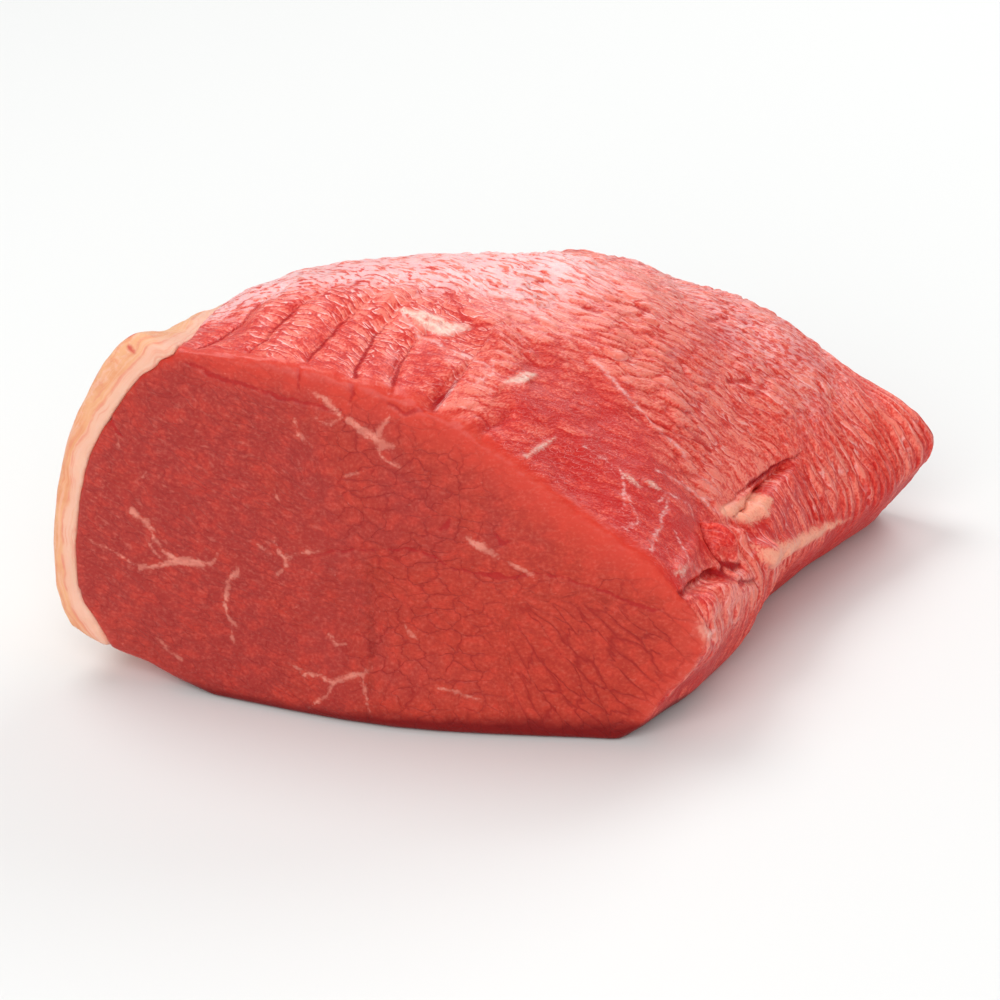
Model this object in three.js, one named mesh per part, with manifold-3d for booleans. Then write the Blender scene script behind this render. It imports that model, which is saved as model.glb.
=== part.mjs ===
// Raw beef roasting joint: one piece of lean, cut across the grain at the front and the back, with a cap of fat
// on one side. Millimetres, +Z up. The front cut faces -Y, the grain runs along Y, and the joint lies on its
// flat underside. The origin is the middle of the bounding box's base.
import * as THREE from "three";
import { mergeVertices } from "three/addons/utils/BufferGeometryUtils.js";
import Module from "manifold-3d";

// ---- Driving dimensions --------------------------------------------------------------------------------------

// Landmarks round the girth, as [across, up, ahead], at five stations from the front cut to the back cut. A
// station is turned about the vertical by its skew and bows forward in its middle, because the cut isn't square.
const STATIONS = [
  {
    along: -42, skew: 0.206, bow: 5.5,
    baseLeft: [-52, 0, 1.5], toe: [-70.5, 5.5], heel: [-90.2, 12.8], flank: [-93.8, 29.5], side: [-88, 64],
    shoulder: [-69.5, 94.4], notch: [-59.5, 92], crest: [-37, 91], ridge: [3.5, 83.5], slope: [38.7, 59],
    brow: [57, 46], tip: [68, 29], under: [59.5, 14.5], baseRight: [47.3, 0], keel: [-4, 0, 5],
  },
  {
    along: -2, skew: 0.14, bow: 2,
    baseLeft: [-54, 0], toe: [-70, 4], heel: [-87.5, 11.5], flank: [-95.3, 32], side: [-91.6, 62],
    shoulder: [-73.5, 81.5], notch: [-65.5, 87.5], crest: [-43, 99.5], ridge: [2, 93], slope: [36, 67],
    brow: [55, 43], tip: [65, 26], under: [60.3, 8.5], baseRight: [54, 0], keel: [-4, 0],
  },
  {
    along: 38, skew: 0.06, bow: 0,
    baseLeft: [-53, 0], toe: [-67, 4], heel: [-82, 11], flank: [-92, 32], side: [-86, 57],
    shoulder: [-67, 75], notch: [-58.5, 79], crest: [-33.5, 84.5], ridge: [0, 92], slope: [34, 72],
    brow: [54, 45], tip: [66.5, 23], under: [58.2, 8.3], baseRight: [51.5, 0], keel: [0, 0],
  },
  {
    along: 80, skew: 0, bow: 0,
    baseLeft: [-50, 0], toe: [-62, 4], heel: [-74, 10], flank: [-84, 29], side: [-78, 50],
    shoulder: [-59, 64], notch: [-51, 68], crest: [-29, 74], ridge: [2, 75.2], slope: [33, 66.6],
    brow: [55.5, 48.5], tip: [71, 24], under: [64, 7], baseRight: [54, 0], keel: [3, 0],
  },
  {
    along: 117, skew: 0, bow: 0,
    baseLeft: [-46, 0], toe: [-56, 3.5], heel: [-66, 9], flank: [-76, 25], side: [-70, 43],
    shoulder: [-53, 53], notch: [-46, 56], crest: [-24, 60], ridge: [4, 57.5], slope: [33.8, 51.2],
    brow: [58, 39.4], tip: [78.3, 26], under: [70, 8], baseRight: [60.5, 0], keel: [6, 0],
  },
];
const BOW_SPAN = 80; // how far to either side of the middle a station's bow reaches

// How many steps each stretch of the girth gets, from the landmark that names it to the next one.
const STEPS = {
  baseLeft: 2, toe: 2, heel: 3, flank: 5, side: 5, shoulder: 3, notch: 4, crest: 8, ridge: 8, slope: 6, brow: 5,
  tip: 4, under: 3, baseRight: 5, keel: 4,
};
const LENGTH_STEPS = 40;
const CUT_RINGS = 8; // rings across each cut face
const NORMAL_REACH = 3; // how many steps to either side a ring's outward normals are taken over

const TINY = 1e-4;

const FRONT_RIM = 2.2; // how far the knife's edge is rounded over
const BACK_RIM = 5;
const RIM_TURNS = [0, 0.35, 0.7]; // shares of the quarter turn over a rim at which its rings stand
const FRONT_BULGE = 2; // how far the middle of a cut face stands out of its rim
const BACK_BULGE = 4;
const FLAT_FROM = 0.6; // share of the way in from its rim at which a cut face is down to its own plane

// The fat cap's thickness at the landmarks round it. It starts partway up the first stretch, where it is thinner
// still, and runs out at the last landmark.
const FAT = { toe: 4, heel: 8.2, flank: 7.6, side: 6.2, shoulder: 8.8, notch: 1.5 };
const FAT_FROM = 1 / 2; // share of the way from toe to heel
const CORE_ACROSS = -34; // where the core that the cap's thickness points to lies across the joint
const FAT_LOWER_EDGE = { thickness: 1.6, reach: 0.5 }; // the reach is counted in landmarks
const FAT_WAVE = { depth: 0.12, along: 9, round: 1.7 }; // how the thickness comes and goes
const FAT_ROUND = 0.8; // how far the cap's outer face is rounded over at the cuts
const GAP = 0.3; // between the cap and the lean
const SEAM = 0.04; // girth between the cap's edge and the full lean beside it, counted in landmarks

// Low swells of the trimmed surface: height, wavelength and phase, and the direction that each runs in.
const SWELLS = [
  { height: 0.6, length: 46, phase: 0.4, towards: [0.8, 0.5, -0.3] },
  { height: 0.5, length: 31, phase: 2.1, towards: [-0.3, 0.9, 0.4] },
  { height: 0.35, length: 21, phase: 4.4, towards: [0.5, -0.2, 0.9] },
  { height: 0.3, length: 16, phase: 1.2, towards: [0.7, 0.7, 0.1] },
];
const SWELL_BEND = 2.3; // how much longer than a swell the waves are that bend it
const SWELL_FROM = 0.1; // share of the length over which the swells grow from nothing at the front cut
const SWELL_ABOVE = 8; // height over which they grow from nothing at the flat underside

// Places where two muscles part: a path over the surface, how wide and how deep the crease is, and the way in.
const CREASES = [
  {
    // the wedge under the top muscle
    path: [[59.3, 53.8, 40.3], [58.2, 47.3, 40.5], [57.8, 30.3, 40.8], [57.2, 21.4, 39.5], [55.4, 12.6, 40.4]],
    width: 4.5, depth: 6.5, inward: [-0.85, 0, -0.5],
  },
  {
    // the crack round the lobe in front of it
    path: [[62.9, 4, 33.2], [60.9, -6.6, 35.9], [60.6, -14.4, 37.2], [59.5, -31, 41.2]],
    width: 3, depth: 3.5, inward: [-0.9, 0, -0.4],
  },
  {
    // the furrows that run back from the front cut between the bundles of grain
    path: [[-39.8, -36.9, 95.8], [-38.8, -31, 97.2], [-35, -20, 99.5]],
    width: 2.2, depth: 1.5, inward: [0, 0, -1],
  },
  {
    path: [[-28, -46, 91.8], [-26.9, -31.3, 95.5], [-21.2, -11.8, 99.2]],
    width: 2.4, depth: 1.8, inward: [0, 0, -1],
  },
  {
    path: [[-16.4, -45, 90], [-18.3, -30.5, 93.3], [-17.4, -13.5, 98.4]],
    width: 2.6, depth: 2, inward: [0, 0, -1],
  },
  {
    path: [[-5.7, -47, 86.8], [-8.5, -37, 89.5], [-8.5, -25.1, 93]],
    width: 2.6, depth: 2, inward: [0, 0, -1],
  },
  {
    path: [[3, -47, 81.8], [3.8, -37.9, 85.7], [4.2, -25.9, 87.8]],
    width: 3, depth: 2.8, inward: [-0.3, 0, -1],
  },
];
const CREASE_LIFT = 2.5; // how far a crease's cutter stands out of the surface
const CREASE_STEPS = 9;
const CREASE_END = 0.15; // share of a crease's size that is left at its two ends
const CREASE_FULLNESS = 0.6; // below 1, a crease keeps its full size for more of its length

// Lumps of fat and lean that stand out beside the wedge: the middle, half the size each way, and a turn about X.
const LUMPS = [
  { at: [57, 3.3, 37.5], half: [3.4, 3.8, 5], turn: 25 },
  { at: [58.6, 14.3, 35], half: [2.8, 2.2, 3.6], turn: 20 },
  { at: [62.8, 19.4, 30], half: [3.4, 4.4, 3.8], turn: -30 },
  { at: [63.4, 33, 27], half: [3, 9.5, 3.2], turn: -12 },
  { at: [60.8, -9.5, 31.5], half: [4.6, 8, 5.6], turn: -15 },
  { at: [62.6, -23, 33.5], half: [3.6, 6, 5.2], turn: 35 },
];
const LUMP_SIDES = 14;
const LUMP_RINGS = 9;

// ---- Girth and length ----------------------------------------------------------------------------------------

const LANDMARKS = Object.keys(STEPS);

// How far along the joint a station lies at a distance across it.
function stationAt({ along, skew, bow }, across) {
  return along + skew * across - bow * Math.max(1 - (across / BOW_SPAN) ** 2, 0);
}

// Each landmark runs the whole length of the joint as one smooth line.
const stringers = LANDMARKS.map((name) => {
  const points = STATIONS.map((station) => {
    const [across, up, ahead = 0] = station[name];
    return new THREE.Vector3(across, stationAt(station, across) - ahead, up);
  });
  return new THREE.CatmullRomCurve3(points, false, "centripetal");
});

// Where the fat starts and ends round the girth, counted in landmarks.
const FAT_NAMES = Object.keys(FAT);
const FAT_START = LANDMARKS.indexOf(FAT_NAMES[0]) + FAT_FROM;
const FAT_END = LANDMARKS.indexOf(FAT_NAMES.at(-1));

// Where each point of a ring lies round the girth, with one more point beside each edge of the fat.
const girth = LANDMARKS.flatMap((name, index) => {
  return Array.from({ length: STEPS[name] }, (_, step) => index + step / STEPS[name]);
}).concat(FAT_START - SEAM, FAT_END + SEAM).sort((a, b) => a - b);

function swellAt(point) {
  return SWELLS.reduce((height, { height: top, length, phase, towards }) => {
    const way = new THREE.Vector3(...towards).normalize();
    const bend = Math.sin((2 * Math.PI * point.z) / (SWELL_BEND * length) + 2 * phase);
    return height + top * Math.sin((2 * Math.PI * point.dot(way)) / length + phase + bend);
  }, 0);
}

// How much of the swells there is at a point: none at the front cut or at the flat underside.
function swellGrowth(point, share) {
  const { smoothstep } = THREE.MathUtils;
  return smoothstep(share, 0, SWELL_FROM) * smoothstep(point.z, 0, SWELL_ABOVE);
}

// The fat's thickness at a place on the girth, or 0 where there is none.
function fatThickness(place, share) {
  const fromStart = place - FAT_START;
  if (Math.min(fromStart, FAT_END - place) < -TINY) return 0;
  const { lerp, smoothstep } = THREE.MathUtils;
  const passed = place - LANDMARKS.indexOf(FAT_NAMES[0]);
  const index = Math.min(Math.floor(passed), FAT_NAMES.length - 2);
  const between = lerp(FAT[FAT_NAMES[index]], FAT[FAT_NAMES[index + 1]], passed - index);
  const full = between * (1 + FAT_WAVE.depth * Math.sin(FAT_WAVE.along * share + FAT_WAVE.round * place));
  return lerp(FAT_LOWER_EDGE.thickness, full, smoothstep(fromStart, 0, FAT_LOWER_EDGE.reach));
}

// The way in from a point of the outer surface, per millimetre of thickness: towards the core where there is
// fat, so that a thick cap doesn't fold at the shoulder, and square to the surface a landmark away from it.
function wayIn(point, outward, core, place) {
  const { smoothstep } = THREE.MathUtils;
  const share = smoothstep(place, FAT_START - 1, FAT_START) * (1 - smoothstep(place, FAT_END, FAT_END + 1));
  const toCore = core.clone().sub(point).setY(0).normalize();
  const way = outward.clone().negate().lerp(toCore, share).normalize();
  return way.divideScalar(-way.dot(outward));
}

// The outer surface at one place along the length: points, each with its place on the girth and its way in.
function ringAt(share) {
  const curve = new THREE.CatmullRomCurve3(stringers.map((line) => line.getPoint(share)), true, "centripetal");
  const points = girth.map((place) => curve.getPoint(place / LANDMARKS.length));
  const core = new THREE.Vector3(CORE_ACROSS, 0, Math.max(...points.map((point) => point.z)) / 2);
  return points.map((point, i) => {
    const before = points.at(i - NORMAL_REACH);
    const after = points[(i + NORMAL_REACH) % points.length];
    const along = after.clone().sub(before).setY(0).normalize();
    const outward = new THREE.Vector3(-along.z, 0, along.x);
    const moved = point.clone().addScaledVector(outward, swellAt(point) * swellGrowth(point, share));
    moved.z = Math.max(moved.z, 0);
    return { point: moved, place: girth[i], inward: wayIn(moved, outward, core, girth[i]) };
  });
}

// ---- Skins and solids ----------------------------------------------------------------------------------------

// The stations that a skin's rings stand at, with how far each is drawn in, so that both rims are rounded.
function ringPlan() {
  const length = STATIONS.at(-1).along - STATIONS[0].along;
  const rimRings = (rim) => RIM_TURNS.map((turn) => {
    const angle = (turn * Math.PI) / 2;
    return { share: ((1 - Math.cos(angle)) * rim) / length, inset: rim * (1 - Math.sin(angle)) };
  });
  const back = rimRings(BACK_RIM).map(({ share, inset }) => ({ share: 1 - share, inset }));
  const body = Array.from({ length: LENGTH_STEPS + 1 }, (_, step) => {
    const share = THREE.MathUtils.lerp(FRONT_RIM / length, 1 - BACK_RIM / length, step / LENGTH_STEPS);
    return { share, inset: 0 };
  });
  return [...rimRings(FRONT_RIM), ...body, ...back.toReversed()];
}

const rings = ringPlan().map(({ share, inset }) => ({ share, inset, points: ringAt(share) }));

function drawnIn({ point, inward }, depth) {
  const moved = point.clone().addScaledVector(inward, depth);
  moved.z = Math.max(moved.z, 0);
  return moved;
}

function closedMesh(positions, triangles) {
  const geometry = new THREE.BufferGeometry();
  geometry.setAttribute("position", new THREE.Float32BufferAttribute(positions.flatMap((p) => p.toArray()), 3));
  geometry.setIndex(triangles);
  return mergeVertices(geometry, TINY);
}

// Quads between neighbouring rows of points, each row closed on itself. Rows that run the other way round are
// turned over, so that their quads are still split along the same diagonals.
function tubeTriangles(rowCount, width, turnedOver = false) {
  const triangles = [];
  for (let row = 0; row + 1 < rowCount; row++) {
    for (let i = 0; i < width; i++) {
      const [a, b] = [row * width + i, row * width + (i + 1) % width];
      const [c, d] = [a + width, b + width];
      triangles.push(...(turnedOver ? [a, c, b, b, c, d] : [a, b, c, b, d, c]));
    }
  }
  return triangles;
}

// Rings that close a cut face from its rim in to its middle, which stands out by the bulge.
function cutFace(rim, station, bulge) {
  const middle = rim.reduce((sum, point) => sum.add(point), new THREE.Vector3()).divideScalar(rim.length);
  const rows = [];
  for (let ring = 1; ring < CUT_RINGS; ring++) {
    const share = ring / CUT_RINGS;
    rows.push(rim.map((point) => {
      const moved = point.clone().lerp(middle, share);
      const uneven = point.y - stationAt(station, point.x);
      const left = uneven * (1 - THREE.MathUtils.smoothstep(share, 0, FLAT_FROM));
      return moved.setY(stationAt(station, moved.x) + left + bulge * (1 - (1 - share) ** 2));
    }));
  }
  middle.y = stationAt(station, middle.x) + bulge;
  return { rows, middle };
}

function leanSolid() {
  const skin = rings.map(({ share, inset, points }) => {
    return points.map((spot) => {
      const fat = fatThickness(spot.place, share);
      return drawnIn(spot, Math.max(fat > 0 ? fat + GAP : 0, inset));
    });
  });
  const width = girth.length;
  const front = cutFace(skin[0], STATIONS[0], -FRONT_BULGE);
  const back = cutFace(skin.at(-1), STATIONS.at(-1), BACK_BULGE);
  const rows = [...front.rows.toReversed(), ...skin, ...back.rows];
  const positions = [...rows.flat(), front.middle, back.middle];
  const triangles = tubeTriangles(rows.length, width);
  const [frontMiddle, backMiddle] = [positions.length - 2, positions.length - 1];
  for (let i = 0; i < width; i++) {
    const next = (i + 1) % width;
    triangles.push(frontMiddle, next, i);
    triangles.push(backMiddle, (rows.length - 1) * width + i, (rows.length - 1) * width + next);
  }
  return closedMesh(positions, triangles);
}

function fatSolid() {
  const rows = rings.map(({ share, inset, points }) => {
    const covered = points.filter((spot) => fatThickness(spot.place, share) > 0);
    const outer = covered.map((spot) => drawnIn(spot, Math.min(inset, FAT_ROUND)));
    const inner = covered.map((spot) => drawnIn(spot, fatThickness(spot.place, share)));
    return [...inner, ...outer.toReversed()];
  });
  const width = rows[0].length;
  const triangles = tubeTriangles(rows.length, width, true);
  const last = (rows.length - 1) * width;
  for (let i = 0; i + 1 < width / 2; i++) {
    const [a, b, c, d] = [i, i + 1, width - 1 - i, width - 2 - i];
    triangles.push(a, b, c, b, d, c);
    triangles.push(last + a, last + c, last + b, last + b, last + c, last + d);
  }
  return closedMesh(rows.flat(), triangles);
}

// ---- Creases and lumps ---------------------------------------------------------------------------------------

const wasm = await Module();
wasm.setup();

function toManifold(geometry) {
  const { position } = geometry.attributes;
  const mesh = new wasm.Mesh({
    numProp: 3,
    vertProperties: new Float32Array(position.array),
    triVerts: new Uint32Array(geometry.index.array),
  });
  return new wasm.Manifold(mesh);
}

function fromManifold(solid) {
  const mesh = solid.getMesh();
  const geometry = new THREE.BufferGeometry();
  geometry.setAttribute("position", new THREE.BufferAttribute(mesh.vertProperties, 3));
  geometry.setIndex(new THREE.BufferAttribute(mesh.triVerts, 1));
  return geometry;
}

// A blade with a V section that follows a path and tapers to both ends.
function creaseCutter({ path, width, depth, inward }) {
  const curve = new THREE.CatmullRomCurve3(path.map((point) => new THREE.Vector3(...point)));
  const way = new THREE.Vector3(...inward).normalize();
  const rows = [];
  for (let step = 0; step <= CREASE_STEPS; step++) {
    const share = step / CREASE_STEPS;
    const taper = THREE.MathUtils.lerp(CREASE_END, 1, Math.sin(Math.PI * share) ** CREASE_FULLNESS);
    const point = curve.getPoint(share);
    const side = curve.getTangent(share).cross(way).normalize().multiplyScalar((width / 2) * taper);
    const lifted = point.clone().addScaledVector(way, -CREASE_LIFT);
    const tip = point.clone().addScaledVector(way, depth * taper);
    rows.push([lifted.clone().add(side), lifted.clone().sub(side), tip]);
  }
  const last = 3 * CREASE_STEPS;
  const triangles = tubeTriangles(rows.length, 3);
  triangles.push(0, 2, 1, last, last + 1, last + 2);
  return toManifold(closedMesh(rows.flat(), triangles));
}

function lumpSolid({ at, half, turn }) {
  const sphere = new THREE.SphereGeometry(1, LUMP_SIDES, LUMP_RINGS);
  sphere.deleteAttribute("normal");
  sphere.deleteAttribute("uv");
  sphere.scale(...half);
  sphere.rotateX(THREE.MathUtils.degToRad(turn));
  sphere.translate(...at);
  return toManifold(mergeVertices(sphere, TINY));
}

function creasedLean() {
  const lumpy = LUMPS.reduce((solid, lump) => solid.add(lumpSolid(lump)), toManifold(leanSolid()));
  return fromManifold(CREASES.reduce((solid, crease) => solid.subtract(creaseCutter(crease)), lumpy));
}

// ---- The joint -----------------------------------------------------------------------------------------------

const leanMaterial = new THREE.MeshStandardMaterial({ color: 0xc23a34, roughness: 0.42, metalness: 0 });
const fatMaterial = new THREE.MeshStandardMaterial({ color: 0xf0cfa0, roughness: 0.5, metalness: 0 });

const lean = new THREE.Mesh(creasedLean(), leanMaterial);
lean.name = "lean";

const fatCap = new THREE.Mesh(fatSolid(), fatMaterial);
fatCap.name = "fat_cap";

const joint = new THREE.Group();
joint.add(lean, fatCap);

const bounds = new THREE.Box3().setFromObject(joint);
const middle = bounds.getCenter(new THREE.Vector3());
joint.position.set(-middle.x, -middle.y, -bounds.min.z);

export default joint;
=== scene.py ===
"""Raw beef roasting joint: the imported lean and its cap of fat, dressed as raw meat on a pale studio floor.

Blender works in metres. Sizes and places below are in millimetres, in the joint's own frame: X across it, Y along the
grain with the front cut at about -42, and Z up from the floor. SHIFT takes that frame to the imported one.

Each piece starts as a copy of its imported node's mesh. It gets an even fine mesh, then its fine relief, and then loses
the triangles that show least. What its material reads, such as how far its marks are, is kept on its vertices.
"""
import itertools
import logging
import math
from dataclasses import dataclass, field
from enum import Enum, IntEnum
from functools import cached_property

import bmesh
import bpy
import numpy as np
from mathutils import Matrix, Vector
from mathutils.bvhtree import BVHTree
from mathutils.kdtree import KDTree


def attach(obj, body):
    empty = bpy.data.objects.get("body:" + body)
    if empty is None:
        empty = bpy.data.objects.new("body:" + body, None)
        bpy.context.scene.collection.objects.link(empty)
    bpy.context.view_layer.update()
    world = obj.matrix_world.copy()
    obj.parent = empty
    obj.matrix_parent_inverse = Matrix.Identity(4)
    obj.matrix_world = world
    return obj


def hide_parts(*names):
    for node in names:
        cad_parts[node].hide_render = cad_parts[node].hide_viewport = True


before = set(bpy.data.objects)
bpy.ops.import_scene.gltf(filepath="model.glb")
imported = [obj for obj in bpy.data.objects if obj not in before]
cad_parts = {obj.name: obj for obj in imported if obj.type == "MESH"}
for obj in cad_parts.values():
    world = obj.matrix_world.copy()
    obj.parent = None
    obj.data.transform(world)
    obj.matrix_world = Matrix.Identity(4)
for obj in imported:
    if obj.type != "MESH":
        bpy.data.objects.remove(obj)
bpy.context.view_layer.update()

log = logging.getLogger("joint")

MM = 0.001
SHIFT = np.array([9.512, -29.839, 0.0])

# Further than any mark reaches.
FAR = 99.0

# What the noise mixes a place's columns and the seed with, and what it spreads the result by.
COLUMN_FACTORS = (127.1, 311.7, 74.7)
SEED_FACTOR = 19.19
SPREAD = 43758.5453
# How far each octave of the noise is set off from the one before.
OCTAVE_SHIFT = 17.3

# The line along the grain that the girth is measured round, as (across, up), and the girth's radius.
CORE = np.array([-10.0, 40.0])
RADIUS = 62.0

Colour = tuple[float, float, float, float]


class Seed(IntEnum):
    """Which pattern each use of the noise follows."""

    PANELS = 5
    DRIFT_BROAD = 11
    DRIFT_MIDDLE = 12
    DRIFT_FINE = 13
    BUNDLES = 21
    SMALL_BUNDLES = 31
    LOBE_BUNDLES = 41
    SKIN_LUMPS = 51
    SKIN_RIPPLES = 52
    FAT_PATCHES = 53
    CUT_LUMPS = 54
    CUT_RIPPLES = 55
    BUNDLE_STRENGTH = 56
    UNDERSIDE = 57
    CUT_BUNDLES = 61
    WEAVE_BORDER = 62
    WEAVE_STRENGTH = 63
    CAP_LUMPS = 71
    CAP_STRIPS = 72
    CUT_MARKS = 81
    CUT_MARKS_FINE = 82
    FURROWS = 83
    SKIN_MARKS = 85
    GLOW = 91
    GLOW_ROUNDED = 92
    WET = 95


# ---- Numbers over a surface -----------------------------------------------------------------------------------


def srgb(red: int, green: int, blue: int) -> Colour:
    """Turns a colour as it looks on a screen into Blender's linear one.

    Args:
        red: Its red part, from 0 to 255.
        green: Its green part.
        blue: Its blue part.

    Returns:
        The linear colour, opaque.
    """
    shares = np.array([red, green, blue]) / 255
    linear = np.where(shares <= 0.04045, shares / 12.92, ((shares + 0.055) / 1.055) ** 2.4)
    return (*linear.tolist(), 1.0)


def rise(values: np.ndarray, low: float, high: float) -> np.ndarray:
    """Returns 0 below low and 1 above high, with a smooth rise between them; low above high makes it fall."""
    share = np.clip((values - low) / (high - low), 0, 1)
    return share * share * (3 - 2 * share)


def dip(distances: np.ndarray, width: float) -> np.ndarray:
    """Returns 1 at distance 0 and below, and less further away, with most of it within the width."""
    return np.exp(-((np.maximum(distances, 0) / width) ** 2))


def scatter(seed: int, *cells: np.ndarray) -> np.ndarray:
    """Returns a number from 0 to 1 for each whole-numbered cell, always the same one for the same cell."""
    mixed = sum(cell * factor for cell, factor in zip(cells, COLUMN_FACTORS))
    return np.modf(np.abs(np.sin(mixed + SEED_FACTOR * seed)) * SPREAD)[0]


def billow(places: np.ndarray, size: float, seed: int, octaves: int = 2) -> np.ndarray:
    """Makes soft lumpy noise.

    Args:
        places: Where, one row for each point, with two or three columns.
        size: How far apart the largest lumps are, in the places' unit.
        seed: Picks one pattern.
        octaves: How many layers, each half the size and half as strong as the one before.

    Returns:
        A number from -1 to 1 for each point.
    """
    total = np.zeros(len(places))
    for octave in range(octaves):
        scaled = places * (2**octave / size) + OCTAVE_SHIFT * octave
        base = np.floor(scaled)
        part = rise(scaled - base, 0, 1)
        value = np.zeros(len(places))
        for corner in itertools.product((0, 1), repeat=places.shape[1]):
            share = np.prod(np.where(np.array(corner), part, 1 - part), axis=1)
            value += share * scatter(seed + octave, *(base + np.array(corner)).T)
        total += (2 * value - 1) * 0.5**octave
    return total / (2 - 0.5 ** (octaves - 1))


def wandered(places: np.ndarray, size: float, reach: float, seed: int) -> np.ndarray:
    """Returns the places, each moved about by up to reach by noise of the given size."""
    moves = [billow(places, size, seed + 7 * axis) for axis in range(places.shape[1])]
    return places + reach * np.stack(moves, axis=1)


@dataclass(frozen=True)
class Cells:
    """Cells of a patchwork, at each point of a surface."""

    edge: np.ndarray
    """How far the point is from its cell's border: 0 on it."""
    ahead: np.ndarray
    """How far the point is past its cell's middle along the first direction."""
    tint: np.ndarray
    """A number from 0 to 1 that is the same all over a cell."""


def patchwork(u: np.ndarray, v: np.ndarray, seed: int) -> Cells:
    """Divides a surface into uneven cells about 1 across.

    Args:
        u: The points' places along the first direction, in cells.
        v: Their places along the second.
        seed: Picks one patchwork.

    Returns:
        The cells that the points are in.
    """
    first = np.full(len(u), FAR)
    second = first.copy()
    ahead = np.zeros(len(u))
    tint = np.zeros(len(u))
    for step_u, step_v in itertools.product((-1, 0, 1), repeat=2):
        cell_u = np.floor(u) + step_u
        cell_v = np.floor(v) + step_v
        off_u = u - cell_u - scatter(seed, cell_u, cell_v)
        off_v = v - cell_v - scatter(seed + 1, cell_u, cell_v)
        distance = np.hypot(off_u, off_v)
        nearer = distance < first
        second = np.where(nearer, first, np.minimum(second, distance))
        ahead = np.where(nearer, off_u, ahead)
        tint = np.where(nearer, scatter(seed + 2, cell_u, cell_v), tint)
        first = np.minimum(first, distance)
    return Cells(second - first, ahead, tint)


def unroll(points: np.ndarray) -> np.ndarray:
    """Returns each point's place along the grain and round the girth from the crest, whatever its depth."""
    off = points[:, [0, 2]] - CORE
    return np.stack([points[:, 1], RADIUS * np.arctan2(off[:, 0], off[:, 1])], axis=1)


@dataclass(frozen=True)
class Strand:
    """A vein, seam, web or crease on the surface: its points, each with its half width last."""

    path: tuple[tuple[float, ...], ...]

    def distance(self, places: np.ndarray) -> np.ndarray:
        """Measures how far places are from the strand.

        Args:
            places: Where, with as many columns as the strand's points have without their widths.

        Returns:
            How far each place is outside the strand, less than 0 inside it.
        """
        nearest = np.full(len(places), FAR)
        for start, end in zip(self.path, self.path[1:]):
            first, last = np.array(start[:-1]), np.array(end[:-1])
            way = last - first
            share = np.clip((places - first) @ way / (way @ way), 0, 1)
            half = start[-1] + share * (end[-1] - start[-1])
            gap = np.linalg.norm(places - first - share[:, None] * way, axis=1) - half
            nearest = np.minimum(nearest, gap)
        return nearest

    def unrolled(self) -> "Strand":
        """Returns the same strand in places along the grain and round the girth."""
        path = np.array(self.path)
        return Strand(tuple(map(tuple, np.column_stack([unroll(path[:, :3]), path[:, 3]]))))


@dataclass(frozen=True)
class Roll:
    """A soft lump that stands out of the surface: the strand along its middle, and its height.

    It starts at the distance foot outside the strand, and is at its full height at the distance top.
    """

    strand: Strand
    height: float
    foot: float = 0.7
    top: float = -1.7

    def share_at(self, places: np.ndarray) -> np.ndarray:
        """Returns how much each place is on the lump, from 0 to 1."""
        return rise(self.strand.unrolled().distance(places), self.foot, self.top)


def nearest_strand(strands: tuple[Strand, ...], places: np.ndarray, used: np.ndarray) -> np.ndarray:
    """Measures how far places are from the nearest of some strands.

    Args:
        strands: The strands.
        places: Where, one row for each point.
        used: Which of the places are measured.

    Returns:
        How far each place is outside the nearest strand, and FAR where it isn't measured.
    """
    found = np.full(len(places), FAR)
    found[used] = np.min([strand.distance(places[used]) for strand in strands], axis=0)
    return found


# ---- Where things are on the joint ----------------------------------------------------------------------------


@dataclass(frozen=True)
class CutFace:
    """A face that the knife left: a plane across the grain, turned about the vertical and bowed forward.

    It looks wholly cut at the distance full behind its plane, and not at all at the distance rim.
    """

    along: float
    full: float
    rim: float
    skew: float = 0.0
    bow: float = 0.0
    span: float = 80.0

    def behind(self, points: np.ndarray) -> np.ndarray:
        """Measures how far points lie behind the face.

        Args:
            points: Where, one row for each point.

        Returns:
            The distance along the grain for each.
        """
        across = points[:, 0]
        bowed = self.bow * np.maximum(1 - (across / self.span) ** 2, 0)
        return points[:, 1] - (self.along + self.skew * across - bowed)

    def share_at(self, points: np.ndarray) -> np.ndarray:
        """Returns how much of the cut face there is at each point, from 0 to 1."""
        return rise(self.behind(points), self.rim, self.full)


FRONT = CutFace(along=-42, full=0.4, rim=2.0, skew=0.206, bow=5.5)
BACK = CutFace(along=117, full=-0.5, rim=-4.5)


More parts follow.
